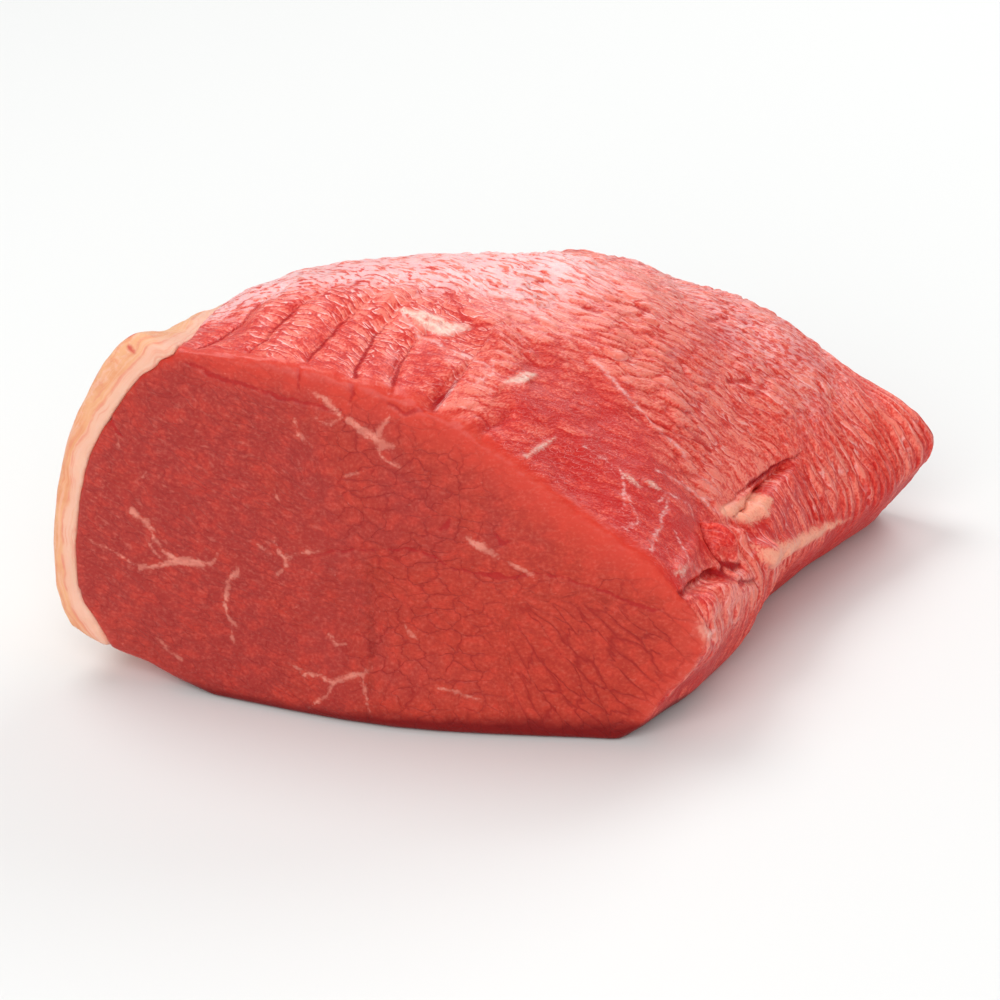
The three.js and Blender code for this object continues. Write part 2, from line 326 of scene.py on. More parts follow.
class Marks:
    """The lines and patches that one joint has and the next hasn't, as strands."""

    # On the front cut, as (across, up, half width).
    VEINS = (
        Strand(((-71.2, 47.6, 0.1), (-70.0, 48.0, 1.0), (-68.2, 47.0, 0.8), (-66.4, 45.0, 0.6), (-64.6, 41.6, 0.3),
                (-61.6, 38.2, 0.6), (-59.6, 36.7, 1.0), (-55.6, 37.4, 0.9), (-52.2, 36.8, 0.7), (-49.8, 37.2, 0.5),
                (-48.6, 39.0, 0.1), (-47.8, 41.4, 0.0))),
        Strand(((-59.8, 36.6, 0.9), (-63.2, 34.8, 0.5), (-67.4, 33.8, 0.5), (-69.0, 33.6, 0.6), (-69.4, 31.6, 0.0))),
        Strand(((-82.3, 38.8, 0.05), (-75.8, 36.2, 0.2), (-68.7, 33.6, 0.3))),
        Strand(((-67.3, 42.0, 0.1), (-65.4, 38.6, 0.35), (-63.4, 36.9, 0.1))),
        Strand(((-43.4, 37.4, 0.2), (-44.2, 35.6, 0.9), (-46.2, 33.0, 0.4), (-47.0, 30.4, 0.6), (-46.8, 24.4, 0.3),
                (-45.4, 21.6, 0.8), (-43.8, 20.8, 0.1))),
        Strand(((-45.9, 19.2, 0.2), (-45.6, 17.4, 0.5), (-45.2, 15.8, 0.1))),
        Strand(((-65.6, 14.2, 0.3), (-62.4, 10.4, 0.2), (-60.0, 9.0, 0.6), (-59.0, 9.2, 0.1))),
        Strand(((-24.9, 86.0, 0.1), (-20.4, 83.4, 0.9), (-16.4, 79.4, 0.5), (-12.6, 77.4, 0.8), (-9.0, 75.8, 1.1),
                (-7.0, 73.8, 0.8), (-4.0, 73.6, 0.2))),
        Strand(((-9.0, 76.0, 1.0), (-7.4, 78.6, 0.4), (-5.8, 81.6, 0.2))),
        Strand(((-8.4, 75.2, 0.7), (-7.2, 71.4, 0.3), (-4.4, 69.4, 0.5), (-2.6, 68.4, 0.1))),
        Strand(((-16.4, 79.4, 0.4), (-19.8, 77.6, 0.2), (-23.2, 78.8, 0.1))),
        Strand(((-28.4, 77.6, 0.1), (-27.4, 74.8, 0.7), (-25.6, 73.2, 0.3), (-23.8, 72.2, 0.1))),
        Strand(((-16.6, 65.0, 0.1), (-14.2, 66.2, 0.35), (-11.4, 66.6, 0.1))),
        Strand(((-33.4, 60.0, 0.0), (-33.0, 58.4, 0.15), (-32.4, 56.6, 0.0))),
        Strand(((-33.8, 45.8, 0.1), (-32.8, 43.6, 0.3), (-31.4, 41.6, 0.7), (-31.8, 39.2, 0.3), (-33.8, 36.4, 0.3))),
        Strand(((-31.4, 41.6, 0.5), (-28.0, 43.6, 0.2), (-24.6, 44.2, 0.3), (-21.6, 44.8, 0.05))),
        Strand(((-38.4, 44.2, 0.05), (-36.4, 43.0, 0.4), (-34.6, 42.0, 0.1))),
        Strand(((-30.2, 14.2, 0.05), (-25.8, 12.0, 0.4), (-22.4, 11.8, 0.3), (-19.4, 10.6, 0.5), (-15.4, 12.6, 0.7),
                (-11.6, 13.8, 0.6), (-9.4, 15.6, 0.2))),
        Strand(((-18.6, 10.8, 0.5), (-20.4, 7.2, 0.3), (-23.6, 4.4, 0.4), (-25.2, 2.6, 0.1))),
        Strand(((-11.4, 13.6, 0.5), (-10.2, 9.0, 0.3), (-9.4, 5.2, 0.2), (-9.2, 2.8, 0.05))),
        Strand(((12.4, 52.4, 0.2), (15.6, 50.4, 1.0), (19.0, 48.4, 0.6), (20.6, 47.6, 0.1))),
        Strand(((22.6, 47.2, 0.1), (25.0, 45.8, 0.6), (28.2, 43.8, 0.2))),
        Strand(((6.8, 12.6, 0.1), (10.4, 11.6, 0.5), (16.6, 10.0, 0.2))),
        Strand(((-1.6, 27.6, 0.1), (-0.4, 25.8, 0.6), (1.6, 24.2, 0.1))),
        Strand(((-20.4, 22.4, 0.1), (-19.0, 20.8, 0.45), (-16.4, 21.0, 0.05))),
        Strand(((-74.2, 68.2, 0.0), (-73.8, 66.0, 0.1), (-74.2, 63.6, 0.0))),
        Strand(((-68.6, 57.2, 0.0), (-67.4, 57.8, 0.1), (-66.4, 59.0, 0.0))),
        Strand(((-78.0, 83.4, 0.0), (-76.6, 82.6, 0.3), (-75.2, 81.2, 0.0))),
        Strand(((64.4, 34.4, 0.0), (66.4, 31.0, 0.8), (66.8, 28.6, 0.7), (66.0, 26.6, 0.0))),
    )

    # Where the muscles on the front cut part, as (across, up, half width).
    SEAMS = (
        Strand(((-56.0, 88.8, 0.1), (-50.0, 87.0, 0.3), (-44.6, 85.4, 0.5), (-38.0, 84.4, 0.2), (-31.6, 82.8, 0.4),
                (-24.0, 82.0, 0.2), (-17.0, 81.2, 0.3))),
        Strand(((-77.6, 72.2, 0.5), (-75.0, 70.4, 0.5), (-72.6, 67.4, 0.1))),
        Strand(((-27.4, 41.8, -0.1), (-18.8, 44.8, 0.05), (-10.0, 47.0, 0.0), (-2.0, 48.0, 0.1), (4.4, 46.4, 0.2),
                (9.6, 44.2, 0.0), (14.4, 43.0, 0.2))),
        Strand(((14.4, 43.0, 0.1), (18.8, 42.8, 0.5), (20.6, 42.6, 1.0), (22.0, 42.0, 0.2), (28.4, 44.6, 0.0),
                (36.0, 43.2, 0.1), (43.4, 41.0, 0.0), (50.0, 38.0, 0.3), (54.6, 36.4, 0.2), (57.4, 36.6, -0.1))),
        Strand(((-15.4, 89.6, 0.4), (-15.2, 88.0, 0.2), (-14.2, 85.6, 0.25), (-14.6, 83.6, 0.0))),
        Strand(((-28.0, 90.6, 0.2), (-27.6, 87.6, 0.0), (-27.2, 84.0, -0.1))),
        Strand(((2.0, 83.4, 0.5), (-2.0, 82.4, 0.3), (-6.0, 84.2, 0.1))),
        Strand(((22.4, 52.0, 0.1), (20.8, 51.4, 0.5), (19.6, 53.8, 0.1))),
        Strand(((6.2, 53.0, 0.05), (8.0, 54.6, 0.4), (9.2, 56.6, 0.1))),
    )

    # Furrows between the panels at the front of the top, seen from above, as (across, along, half width).
    FURROWS = (
        Strand(((-55.0, -52.0, 0.2), (-52.4, -42.0, 0.4), (-50.6, -33.6, 0.2), (-46.4, -22.0, 0.0))),
        Strand(((-41.8, -50.0, 0.1), (-39.8, -37.0, 0.4), (-38.8, -31.0, 0.3), (-35.0, -22.0, 0.1),
                (-31.0, -12.0, 0.0))),
        Strand(((-28.0, -47.6, 0.4), (-27.4, -39.4, 0.4), (-26.9, -31.3, 0.4), (-23.3, -15.6, 0.2),
                (-19.4, -4.0, 0.0))),
        Strand(((-15.8, -46.6, 0.6), (-17.4, -37.9, 0.4), (-18.5, -30.5, 0.4), (-16.9, -20.3, 0.2),
                (-14.0, -6.0, 0.0))),
        Strand(((-5.7, -47.6, 0.3), (-7.8, -41.3, 0.4), (-9.7, -30.0, 0.2), (-8.5, -24.0, 0.0))),
        Strand(((3.0, -47.6, 1.0), (3.4, -40.0, 0.9), (4.0, -35.0, 0.5), (4.4, -31.0, 0.1), (4.2, -26.5, 0.0))),
        Strand(((14.6, -45.0, 0.0), (15.2, -38.0, 0.2), (17.4, -30.0, 0.0))),
    )

    # Pale webs and edges of membrane on the trimmed surface, as (across, along, up, half width). The two highest, along
    # the crest, are also painted highlight streaks.
    WEBS = (
        Strand(((-15.6, -21.6, 96.2, 0.1), (-13.1, -23.7, 94.7, 0.4), (-7.8, -26.4, 92.3, 0.3),
                (-0.7, -26.0, 90.1, 0.4),
                (3.3, -24.5, 88.4, 0.4), (7.9, -23.6, 86.3, 0.1))),
        Strand(((-12.3, -1.8, 98.0, 0.2), (-5.5, -2.0, 96.0, 0.6), (1.2, 1.5, 93.0, 0.4), (9.4, 4.7, 89.3, 0.2),
                (13.0, 6.0, 87.2, 0.0))),
        Strand(((7.6, -20.6, 86.8, 0.1), (9.4, -24.8, 85.2, 0.3), (8.4, -31.0, 85.2, 0.1))),
        Strand(((4.4, -31.0, 87.4, 0.0), (5.0, -38.0, 86.4, 0.3), (4.8, -44.0, 85.6, 0.2))),
        Strand(((22.4, 5.5, 80.0, 0.1), (29.6, 4.9, 74.3, 0.5), (37.8, 6.5, 65.7, 0.2), (46.8, 11.1, 53.7, 0.0),
                (52.7, 16.8, 44.7, 0.0))),
        Strand(((31.8, -19.8, 68.8, 0.0), (38.9, -16.3, 62.7, 0.0), (44.0, -23.9, 57.5, 0.0))),
        Strand(((43.9, -5.2, 59.1, 0.1), (47.5, 3.1, 52.4, 0.3), (50.9, 8.7, 46.6, 0.2), (54.1, 11.0, 42.2, 0.1))),
        Strand(((48.1, -13.3, 54.6, 0.0), (48.1, -8.2, 54.6, 0.1), (50.2, -0.3, 49.0, 0.0), (52.1, -0.9, 46.1, 0.0))),
        Strand(((49.0, -8.5, 53.5, 0.1), (50.7, -17.6, 51.6, 0.0), (51.8, -26.4, 50.4, 0.2),
                (52.4, -29.7, 49.9, 0.0))),
        Strand(((53.5, -14.9, 48.4, 0.0), (55.1, -15.5, 46.4, 0.1), (57.9, -18.8, 42.8, 0.1),
                (59.9, -13.3, 38.1, 0.0))),
        Strand(((40.9, -19.8, 60.6, 0.0), (44.6, -22.4, 57.2, 0.1), (47.8, -24.9, 54.2, 0.0),
                (46.7, -30.2, 54.2, 0.0))),
    )

    # Patches of fat left on the trimmed surface, as (across, along, up, half width).
    FLECKS = (
        Strand(((-17.0, -21.0, 96.8, 0.3), (-11.0, -20.9, 95.1, 2.2), (-4.9, -21.0, 92.9, 2.5),
                (-1.0, -17.0, 92.3, 0.8))),
        Strand(((12.6, -24.4, 83.6, 0.4), (14.4, -18.9, 82.6, 1.8), (15.6, -13.6, 81.7, 0.6))),
        Strand(((23.6, -38.0, 71.8, 0.2), (24.9, -31.1, 72.0, 0.8), (25.9, -25.5, 72.2, 0.1))),
        Strand(((40.3, -17.6, 61.4, 0.1), (42.0, -16.0, 60.0, 0.9), (43.6, -14.9, 58.7, 0.1))),
        Strand(((43.7, -12.3, 59.0, 0.1), (45.2, -10.8, 57.6, 0.8), (46.9, -9.6, 56.0, 0.1))),
        Strand(((64.8, -34.0, 34.0, 0.1), (65.4, -29.8, 31.6, 1.4), (65.6, -26.0, 29.4, 0.3))),
        Strand(((56.6, -27.6, 44.0, 0.1), (57.2, -23.6, 43.4, 0.5), (57.6, -20.0, 42.8, 0.0))),
    )

    # Firmer fat beside the creases, as (across, along, up, half width).
    SUET = (
        Strand(((55.0, 13.0, 41.6, 1.0), (56.0, 20.0, 39.6, 2.2), (56.8, 27.0, 38.6, 2.2), (57.4, 32.0, 38.8, 0.6))),
        Strand(((63.0, 15.4, 31.2, 1.6), (64.6, 21.4, 28.6, 2.6), (65.4, 29.0, 26.4, 2.2), (66.6, 45.0, 23.6, 1.4),
                (67.8, 60.0, 20.6, 0.6), (68.8, 72.0, 18.4, -0.3))),
    )

    # Where two muscles part on the trimmed surface, as (across, along, up, half width).
    CREASES = (
        Strand(((59.8, 57.0, 41.2, 0.0), (58.8, 53.0, 41.4, 0.2), (57.6, 42.0, 41.8, 0.6), (56.4, 31.0, 42.2, 0.6),
                (55.6, 26.0, 42.6, 0.1), (54.6, 15.0, 42.2, -0.1))),
        Strand(((54.7, 1.0, 43.2, 0.2), (55.9, -1.4, 40.8, 0.9), (58.4, -2.6, 38.0, 0.5), (60.5, -2.4, 36.0, 0.6),
                (62.2, 1.6, 33.4, 0.9), (63.2, 5.0, 32.2, 0.3))),
        Strand(((60.8, -2.2, 34.8, 0.6), (60.2, -3.3, 34.4, 0.7), (58.9, -12.7, 36.4, 0.3), (60.0, -22.0, 39.0, 0.4),
                (61.0, -30.4, 40.6, 0.8), (60.7, -31.6, 38.4, 0.3))),
        Strand(((64.2, -3.0, 32.0, 0.3), (65.0, 3.0, 29.6, 0.3), (65.5, 9.0, 27.2, 0.3), (65.6, 9.6, 25.6, 0.1))),
    )

    # Small hollows in the trimmed surface, darker red inside, partly as painted shade, as (across, along, up, half
    # width).
    PITS = (
        Strand(((34.6, 2.2, 68.9, 0.8), (37.8, 4.1, 65.6, 1.0))),
        Strand(((42.1, 48.1, 61.4, 0.9), (45.3, 55.7, 59.3, 0.9))),
        Strand(((43.9, 16.7, 60.1, 0.8), (47.5, 22.6, 53.5, 1.0))),
        Strand(((13.5, 19.7, 87.0, 0.6), (16.9, 22.3, 85.3, 0.7))),
        Strand(((30.4, 60.4, 71.1, 0.6), (31.8, 72.7, 68.3, 0.7))),
        Strand(((20.0, 34.0, 82.0, 0.4), (23.0, 37.0, 80.0, 0.5))),
    )

    # Soft lumps beside the creases.
    ROLLS = (
        Roll(Strand(((57.4, 2.6, 41.6, 1.5), (60.8, 3.2, 35.8, 1.9))), 2.2),
        Roll(Strand(((59.6, 12.7, 37.7, 0.8), (61.4, 11.9, 33.9, 1.0))), 1.2),
        Roll(Strand(((57.2, 28.0, 37.0, 3.2), (58.0, 36.0, 37.0, 3.6), (58.8, 46.0, 37.6, 2.6))), 0.6),
        Roll(Strand(((63.2, 16.4, 31.2, 2.2), (64.6, 23.4, 27.6, 2.4))), 1.4),
        Roll(Strand(((65.4, 30.0, 25.4, 1.6), (66.8, 46.0, 23.4, 1.4), (68.0, 60.0, 20.4, 0.8))), 0.7),
        Roll(Strand(((56.0, 16.0, 40.0, 1.2), (56.4, 19.0, 39.0, 1.4))), 1.1),
        Roll(Strand(((56.4, 23.0, 39.6, 1.0), (57.2, 26.0, 38.0, 1.3))), 1.2),
        Roll(Strand(((57.2, 30.0, 39.2, 0.8), (57.8, 32.0, 38.0, 0.9))), 0.9),
        Roll(Strand(((63.4, -2.0, 31.0, 2.4), (63.2, -12.0, 32.6, 3.2), (64.4, -24.0, 34.6, 2.6))), 1.2),
        Roll(Strand(((56.0, -8.0, 43.4, 1.8), (56.6, -18.0, 43.0, 2.2), (57.6, -26.0, 43.6, 1.6))), 0.9),
    )


class Ground:
    """The lean's surface at some points: of which kind it is, from 0 to 1, and how far its marks are."""

    # Behind this place along the grain, a cut belongs to the back, with the front's marks mirrored and squeezed.
    MIDWAY = 60.0
    BACK_SCALE = np.array([-1.15, 1.5])
    BACK_SHIFT = np.array([8.0, 2.0])

    def __init__(self, points: np.ndarray) -> None:
        """Works out the kinds of surface.

        Args:
            points: Where, one row for each point.
        """
        self.points = points
        self.x, self.y, self.z = x, y, z = points.T
        self.front = FRONT.share_at(points)
        self.back = BACK.share_at(points)
        self.cut = np.maximum(self.front, self.back)
        self.skin = (1 - self.front) * (1 - self.back)
        # The cross-grained panels at the front of the top, with furrows between them.
        self.panel = rise(x, 12, 2) * rise(y, 10, -12) * rise(z, 60, 75) * self.skin
        # The finely veined slope to the right of them, above the crease.
        self.slope = rise(x, 6, 20) * rise(y - 0.3 * np.maximum(x - 20, 0), 8, -12) * rise(z, 34, 42) * self.skin
        # The lobe below the crease, and the flank's underside, whose tone is darkened as painted shade.
        self.lobe = rise(x, 48, 56) * rise(z, 46, 40) * rise(y, -6, 8) * self.skin
        self.under = rise(x, 36, 50) * rise(z + 7 * billow(points, 14, Seed.UNDERSIDE), 32, 8) * self.skin

    def panel_shift(self) -> np.ndarray:
        """Works out how far each panel's cross-lines are set off from its neighbours' ones.

        Returns:
            The distance along the grain, for each point.
        """
        count = np.zeros(len(self.points))
        for furrow in Marks.FURROWS:
            across, along, _ = np.array(furrow.path).T
            count += self.x > np.interp(self.y, along, across)
        return 3 * scatter(Seed.PANELS, count, count) * rise(self.y, 6, -14)

    @cached_property
    def flow(self) -> np.ndarray:
        """Follows the bundles' lines, with their drift, slant and steps.

        Returns:
            Each point's place across those lines along the grain, round the girth, and out from the core.
        """
        points = self.points
        drift = 3.0 * billow(points, 30, Seed.DRIFT_BROAD) + 1.4 * billow(points, 9, Seed.DRIFT_MIDDLE)
        drift += 0.35 * billow(points, 4, Seed.DRIFT_FINE)
        drift += self.panel_shift()
        girth = unroll(points)[:, 1]
        slant = 0.05 * self.x - 0.4 * np.maximum(girth - 8, 0)
        slant += 0.25 * np.maximum(girth - 92, 0) - 0.3 * np.clip(girth - 30, 0, 60)
        out = np.linalg.norm(points[:, [0, 2]] - CORE, axis=1)
        return np.stack([self.y + drift + slant, girth, out], axis=1)

    @cached_property
    def on_cut(self) -> np.ndarray:
        """Looks at the cuts from in front, with wander.

        Returns:
            Each point's place across and up the front cut, or its likeness on the back one.
        """
        places = self.points[:, [0, 2]]
        likeness = places * self.BACK_SCALE - self.BACK_SHIFT
        places = np.where(self.points[:, 1:2] > self.MIDWAY, likeness, places)
        return wandered(wandered(places, 5, 0.7, Seed.CUT_MARKS), 1.8, 0.35, Seed.CUT_MARKS_FINE)

    @cached_property
    def on_skin(self) -> np.ndarray:
        """Returns each point's place along the grain and round the girth, with wander."""
        return wandered(unroll(self.points), 4, 0.7, Seed.SKIN_MARKS)

    def to_cut_marks(self, strands: tuple[Strand, ...], used: np.ndarray) -> np.ndarray:
        """Returns how far each used point is outside the nearest of a cut's marks."""
        return nearest_strand(strands, self.on_cut, used)

    def to_skin_marks(self, strands: tuple[Strand, ...], used: np.ndarray) -> np.ndarray:
        """Returns how far each used point is outside the nearest of the trimmed surface's marks."""
        return nearest_strand(tuple(strand.unrolled() for strand in strands), self.on_skin, used)

    def to_furrows(self, used: np.ndarray) -> np.ndarray:
        """Returns how far each used point is outside the nearest furrow."""
        return nearest_strand(Marks.FURROWS, wandered(self.points[:, :2], 4, 0.6, Seed.FURROWS), used)


# ---- Meshes ---------------------------------------------------------------------------------------------------


class Skin:
    """A piece's mesh as arrays, in the joint's own frame."""

    def __init__(self, mesh: bpy.types.Mesh) -> None:
        """Reads the mesh.

        Args:
            mesh: The piece's mesh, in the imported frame.
        """
        self.mesh = mesh
        flat = np.zeros(3 * len(mesh.vertices))
        mesh.vertices.foreach_get("co", flat)
        self.points = flat.reshape(-1, 3) / MM - SHIFT
        ends = np.zeros(2 * len(mesh.edges), dtype=np.int32)
        mesh.edges.foreach_get("vertices", ends)
        self.ends = ends.reshape(-1, 2)

    def normals(self) -> np.ndarray:
        """Reads the outward directions.

        Returns:
            A direction of length 1 for each vertex.
        """
        flat = np.zeros(3 * len(self.mesh.vertices))
        self.mesh.vertices.foreach_get("normal", flat)
        return flat.reshape(-1, 3)

    def averaged(self, values: np.ndarray) -> np.ndarray:
        """Evens out values over the mesh.

        Args:
            values: A number for each vertex.

        Returns:
            The mean of each vertex's neighbours.
        """
        first, second = self.ends.T
        count = np.bincount(self.ends.ravel(), minlength=len(self.points))
        total = np.bincount(first, values[second], len(self.points))
        total += np.bincount(second, values[first], len(self.points))
        return total / np.maximum(count, 1)

    def soften(self, rounds: int, share: float = 0.6) -> None:
        """Evens out facets and voxel steps.

        Args:
            rounds: How many times each vertex moves.
            share: How much of the way to its neighbours' mean it moves each time.
        """
        for _ in range(rounds):
            for axis in range(3):
                column = self.points[:, axis]
                column += share * (self.averaged(column) - column)
        self.write()

    def push_out(self, heights: np.ndarray) -> None:
        """Moves each vertex outward by its height."""
        self.points += self.normals() * heights[:, None]
        self.write()

    def write(self) -> None:
        """Puts the points back into the mesh, with none of them under the floor."""
        self.points[:, 2] = np.maximum(self.points[:, 2], 0)
        self.mesh.vertices.foreach_set("co", ((self.points + SHIFT) * MM).ravel())
        self.mesh.update()

    def store(self, name: str, values: np.ndarray) -> None:
        """Keeps an attribute on the mesh that a material can read.

        Args:
            name: The attribute's name.
            values: A number or a vector for each vertex.
        """
        kind, key = ("FLOAT", "value") if values.ndim == 1 else ("FLOAT_VECTOR", "vector")
        attribute = self.mesh.attributes.new(name, kind, "POINT")
        attribute.data.foreach_set(key, values.astype(np.float32).ravel())


def linked(name: str, data: bpy.types.ID) -> bpy.types.Object:
    """Adds an object to the scene.

    Args:
        name: The object's name.
        data: Its mesh, light or camera.

    Returns:
        The object.
    """
    made = bpy.data.objects.new(name, data)
    bpy.context.scene.collection.objects.link(made)
    return made


def evaluated(piece: bpy.types.Object) -> bpy.types.Mesh:
    """Applies a piece's modifiers.

    Args:
        piece: The piece. Its modifiers are taken off it.

    Returns:
        The mesh that results, which is the piece's own from then on.
    """
    graph = bpy.context.evaluated_depsgraph_get()
    made = bpy.data.meshes.new_from_object(piece.evaluated_get(graph))
    piece.modifiers.clear()
    old = piece.data
    piece.data = made
    bpy.data.meshes.remove(old)
    return made


def copy_of(node: str, name: str) -> bpy.types.Object:
    """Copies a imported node's mesh, with its split corners joined.

    Args:
        node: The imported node's name.
        name: The new piece's name.

    Returns:
        The new piece.
    """
    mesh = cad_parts[node].data.copy()
    mesh.name = name
    mesh.materials.clear()
    shape = bmesh.new()
    shape.from_mesh(mesh)
    bmesh.ops.remove_doubles(shape, verts=shape.verts, dist=1e-6)
    shape.to_mesh(mesh)
    shape.free()
    return linked(name, mesh)


def triangle_count(mesh: bpy.types.Mesh) -> int:
    """Returns how many triangles the mesh's faces make."""
    return sum(len(face.vertices) - 2 for face in mesh.polygons)


def remesh(piece: bpy.types.Object, voxel: float) -> Skin:
    """Gives a piece an even fine mesh.

    Args:
        piece: A piece with a closed mesh.
        voxel: The edge length, in millimetres.

    Returns:
        The new mesh as a skin.
    """
    modifier = piece.modifiers.new("Even mesh", "REMESH")
    modifier.mode = "VOXEL"
    modifier.voxel_size = voxel * MM
    return Skin(evaluated(piece))


def thin_out(piece: bpy.types.Object, triangles: int, keep: np.ndarray) -> Skin:
    """Takes triangles away, most of them where little is seen.

    Args:
        piece: A piece with a fine mesh.
        triangles: How many triangles are left.
        keep: How much each vertex is worth keeping: 0 as its shape alone says, 1 always.

    Returns:
        The thinner mesh as a skin.
    """
    group = piece.vertex_groups.new(name="keep")
    levels = 10
    for level in range(levels + 1):
        members = np.flatnonzero(np.round(keep * levels) == level).tolist()
        group.add(members, level / levels, "REPLACE")
    modifier = piece.modifiers.new("Thin out", "DECIMATE")
    modifier.ratio = triangles / triangle_count(piece.data)
    modifier.vertex_group = group.name
    modifier.invert_vertex_group = True
    # A larger factor would let the group outweigh the shape.
    modifier.vertex_group_factor = 1e-5
    skin = Skin(evaluated(piece))
    piece.vertex_groups.clear()
    return skin


def shade_smooth(mesh: bpy.types.Mesh) -> None:
    """Marks every face as smooth."""
    mesh.polygons.foreach_set("use_smooth", np.ones(len(mesh.polygons), dtype=bool))


# ---- Shader nodes ---------------------------------------------------------------------------------------------


class Number:
    """A number in a shader. Arithmetic on it adds nodes to its tree."""

    def __init__(self, wiring: "Wiring", socket: bpy.types.NodeSocket) -> None:
        """Wraps a socket.

        Args:
            wiring: The tree's wiring.
            socket: Where the number comes out.
        """
        self.wiring = wiring
        self.socket = socket

    def __add__(self, other: "Number | float") -> "Number":
        """Returns the sum."""
        return self.wiring.math("ADD", self, other)

    def __sub__(self, other: "Number | float") -> "Number":
        """Returns the difference."""
        return self.wiring.math("SUBTRACT", self, other)

    def __rsub__(self, other: float) -> "Number":
        """Returns how much less this number is than a plain one."""
        return self.wiring.math("SUBTRACT", other, self)

    def __mul__(self, other: "Number | float") -> "Number":
        """Returns the product."""
        return self.wiring.math("MULTIPLY", self, other)

    def __truediv__(self, other: "Number | float") -> "Number":
        """Returns the quotient."""
        return self.wiring.math("DIVIDE", self, other)

    def __rtruediv__(self, other: float) -> "Number":
        """Returns a plain number divided by this one."""
        return self.wiring.math("DIVIDE", other, self)

    def __abs__(self) -> "Number":
        """Returns the number without its sign."""
        return self.wiring.math("ABSOLUTE", self)

    def larger(self, other: "Number | float") -> "Number":
        """Returns the larger of two numbers."""
        return self.wiring.math("MAXIMUM", self, other)

    def ramp(self, low: "Number | float", high: "Number | float") -> "Number":
        """Returns 0 at low, 1 at high and a smooth change between them."""
        inputs = {"Value": self, "From Min": low, "From Max": high}
        return self.wiring.number("MapRange", inputs, interpolation_type="SMOOTHSTEP")


Value = Number | bpy.types.NodeSocket | float | tuple
Inputs = dict[str | int, Value]


class Wiring:
    """Adds nodes to one tree and joins them."""

    def __init__(self, tree: bpy.types.NodeTree) -> None:
        """Starts on a tree.

        Args:
            tree: The material's or the group's nodes.
        """
        self.tree = tree

    def put(self, node: bpy.types.Node, key: str | int, value: Value) -> None:
        """Gives a node one of its inputs.

        Args:
            node: The node.
            key: The input's name or index.
            value: A number or a socket to join to it, or a plain value to set it to.
        """
        source = value.socket if isinstance(value, Number) else value
        if isinstance(source, bpy.types.NodeSocket):
            self.tree.links.new(source, node.inputs[key])
        else:
            node.inputs[key].default_value = source

    def add(self, kind: str, inputs: Inputs | None = None, **settings: object) -> bpy.types.Node:
        """Adds a node.

        Args:
            kind: Its type's name after "ShaderNode".
            inputs: What goes into its sockets.
            **settings: Its other properties.

        Returns:
            The node.
        """
        node = self.tree.nodes.new("ShaderNode" + kind)
        for name, value in settings.items():
            setattr(node, name, value)
        for key, value in (inputs or {}).items():
            self.put(node, key, value)
        return node

    def number(self, kind: str, inputs: Inputs, output: str | int = 0, **settings: object) -> Number:
        """Adds a node and returns one of its outputs as a number."""
        return Number(self, self.add(kind, inputs, **settings).outputs[output])

    def math(self, operation: str, *values: Value) -> Number:
        """Returns the result of a Math node."""
        return self.number("Math", dict(enumerate(values)), operation=operation)

    def vector_math(self, operation: str, inputs: Inputs) -> bpy.types.NodeSocket:
        """Returns the result of a Vector Math node."""
        return self.add("VectorMath", inputs, operation=operation).outputs[0]

    def named(self, name: str) -> Number:
        """Returns a number kept on the mesh."""
        return Number(self, self.add("Attribute", attribute_name=name).outputs["Fac"])

    def named_vector(self, name: str) -> bpy.types.NodeSocket:
        """Returns a vector kept on the mesh."""
        return self.add("Attribute", attribute_name=name).outputs["Vector"]

    def stretched(self, vector: Value, scale: tuple[float, float, float]) -> bpy.types.NodeSocket:
        """Returns the vector with each part multiplied."""
        return self.vector_math("MULTIPLY", {0: vector, 1: scale})

    def noise(self, vector: Value, scale: Value, detail: float = 2.0) -> Number:
        """Returns soft noise from about 0.2 to 0.8."""
        return self.number("TexNoise", {"Vector": vector, "Scale": scale, "Detail": detail}, "Fac")

    def wandered(self, vector: Value, scale: float, reach: Value) -> bpy.types.NodeSocket:
        """Moves a vector about by noise.

        Args:
            vector: The vector.
            scale: How many of the noise's lumps there are in a length of 1.
            reach: How far it moves.

        Returns:
            The moved vector.
        """
        shift = self.add("TexNoise", {"Vector": vector, "Scale": scale, "Detail": 2.0}).outputs["Color"]
        shift = self.vector_math("SUBTRACT", {0: shift, 1: (0.5, 0.5, 0.5)})
        return self.vector_math("ADD", {0: vector, 1: self.vector_math("SCALE", {0: shift, "Scale": reach})})

    def layered(self, base: Value, *layers: tuple[Value, Value]) -> Value:
        """Lays colours over one another.

        Args:
            base: The lowest colour.
            *layers: How much of each other colour shows, from 0 to 1, and the colour, from the lowest one up.

        Returns:
            The colour that shows.
        """
        for share, colour in layers:
            base = self.add("Mix", {0: share, 6: base, 7: colour}, data_type="RGBA").outputs[2]
        return base

    def group(self, tree: bpy.types.NodeTree, inputs: Inputs) -> dict[str, Number]:
        """Places a node group and returns the numbers that it gives, by name."""
        node = self.add("Group", inputs, node_tree=tree)
        return {output.name: Number(self, output) for output in node.outputs}


class Socket(Enum):
    """The kinds of input that the groups have."""

    NUMBER = "NodeSocketFloat"
    VECTOR = "NodeSocketVector"


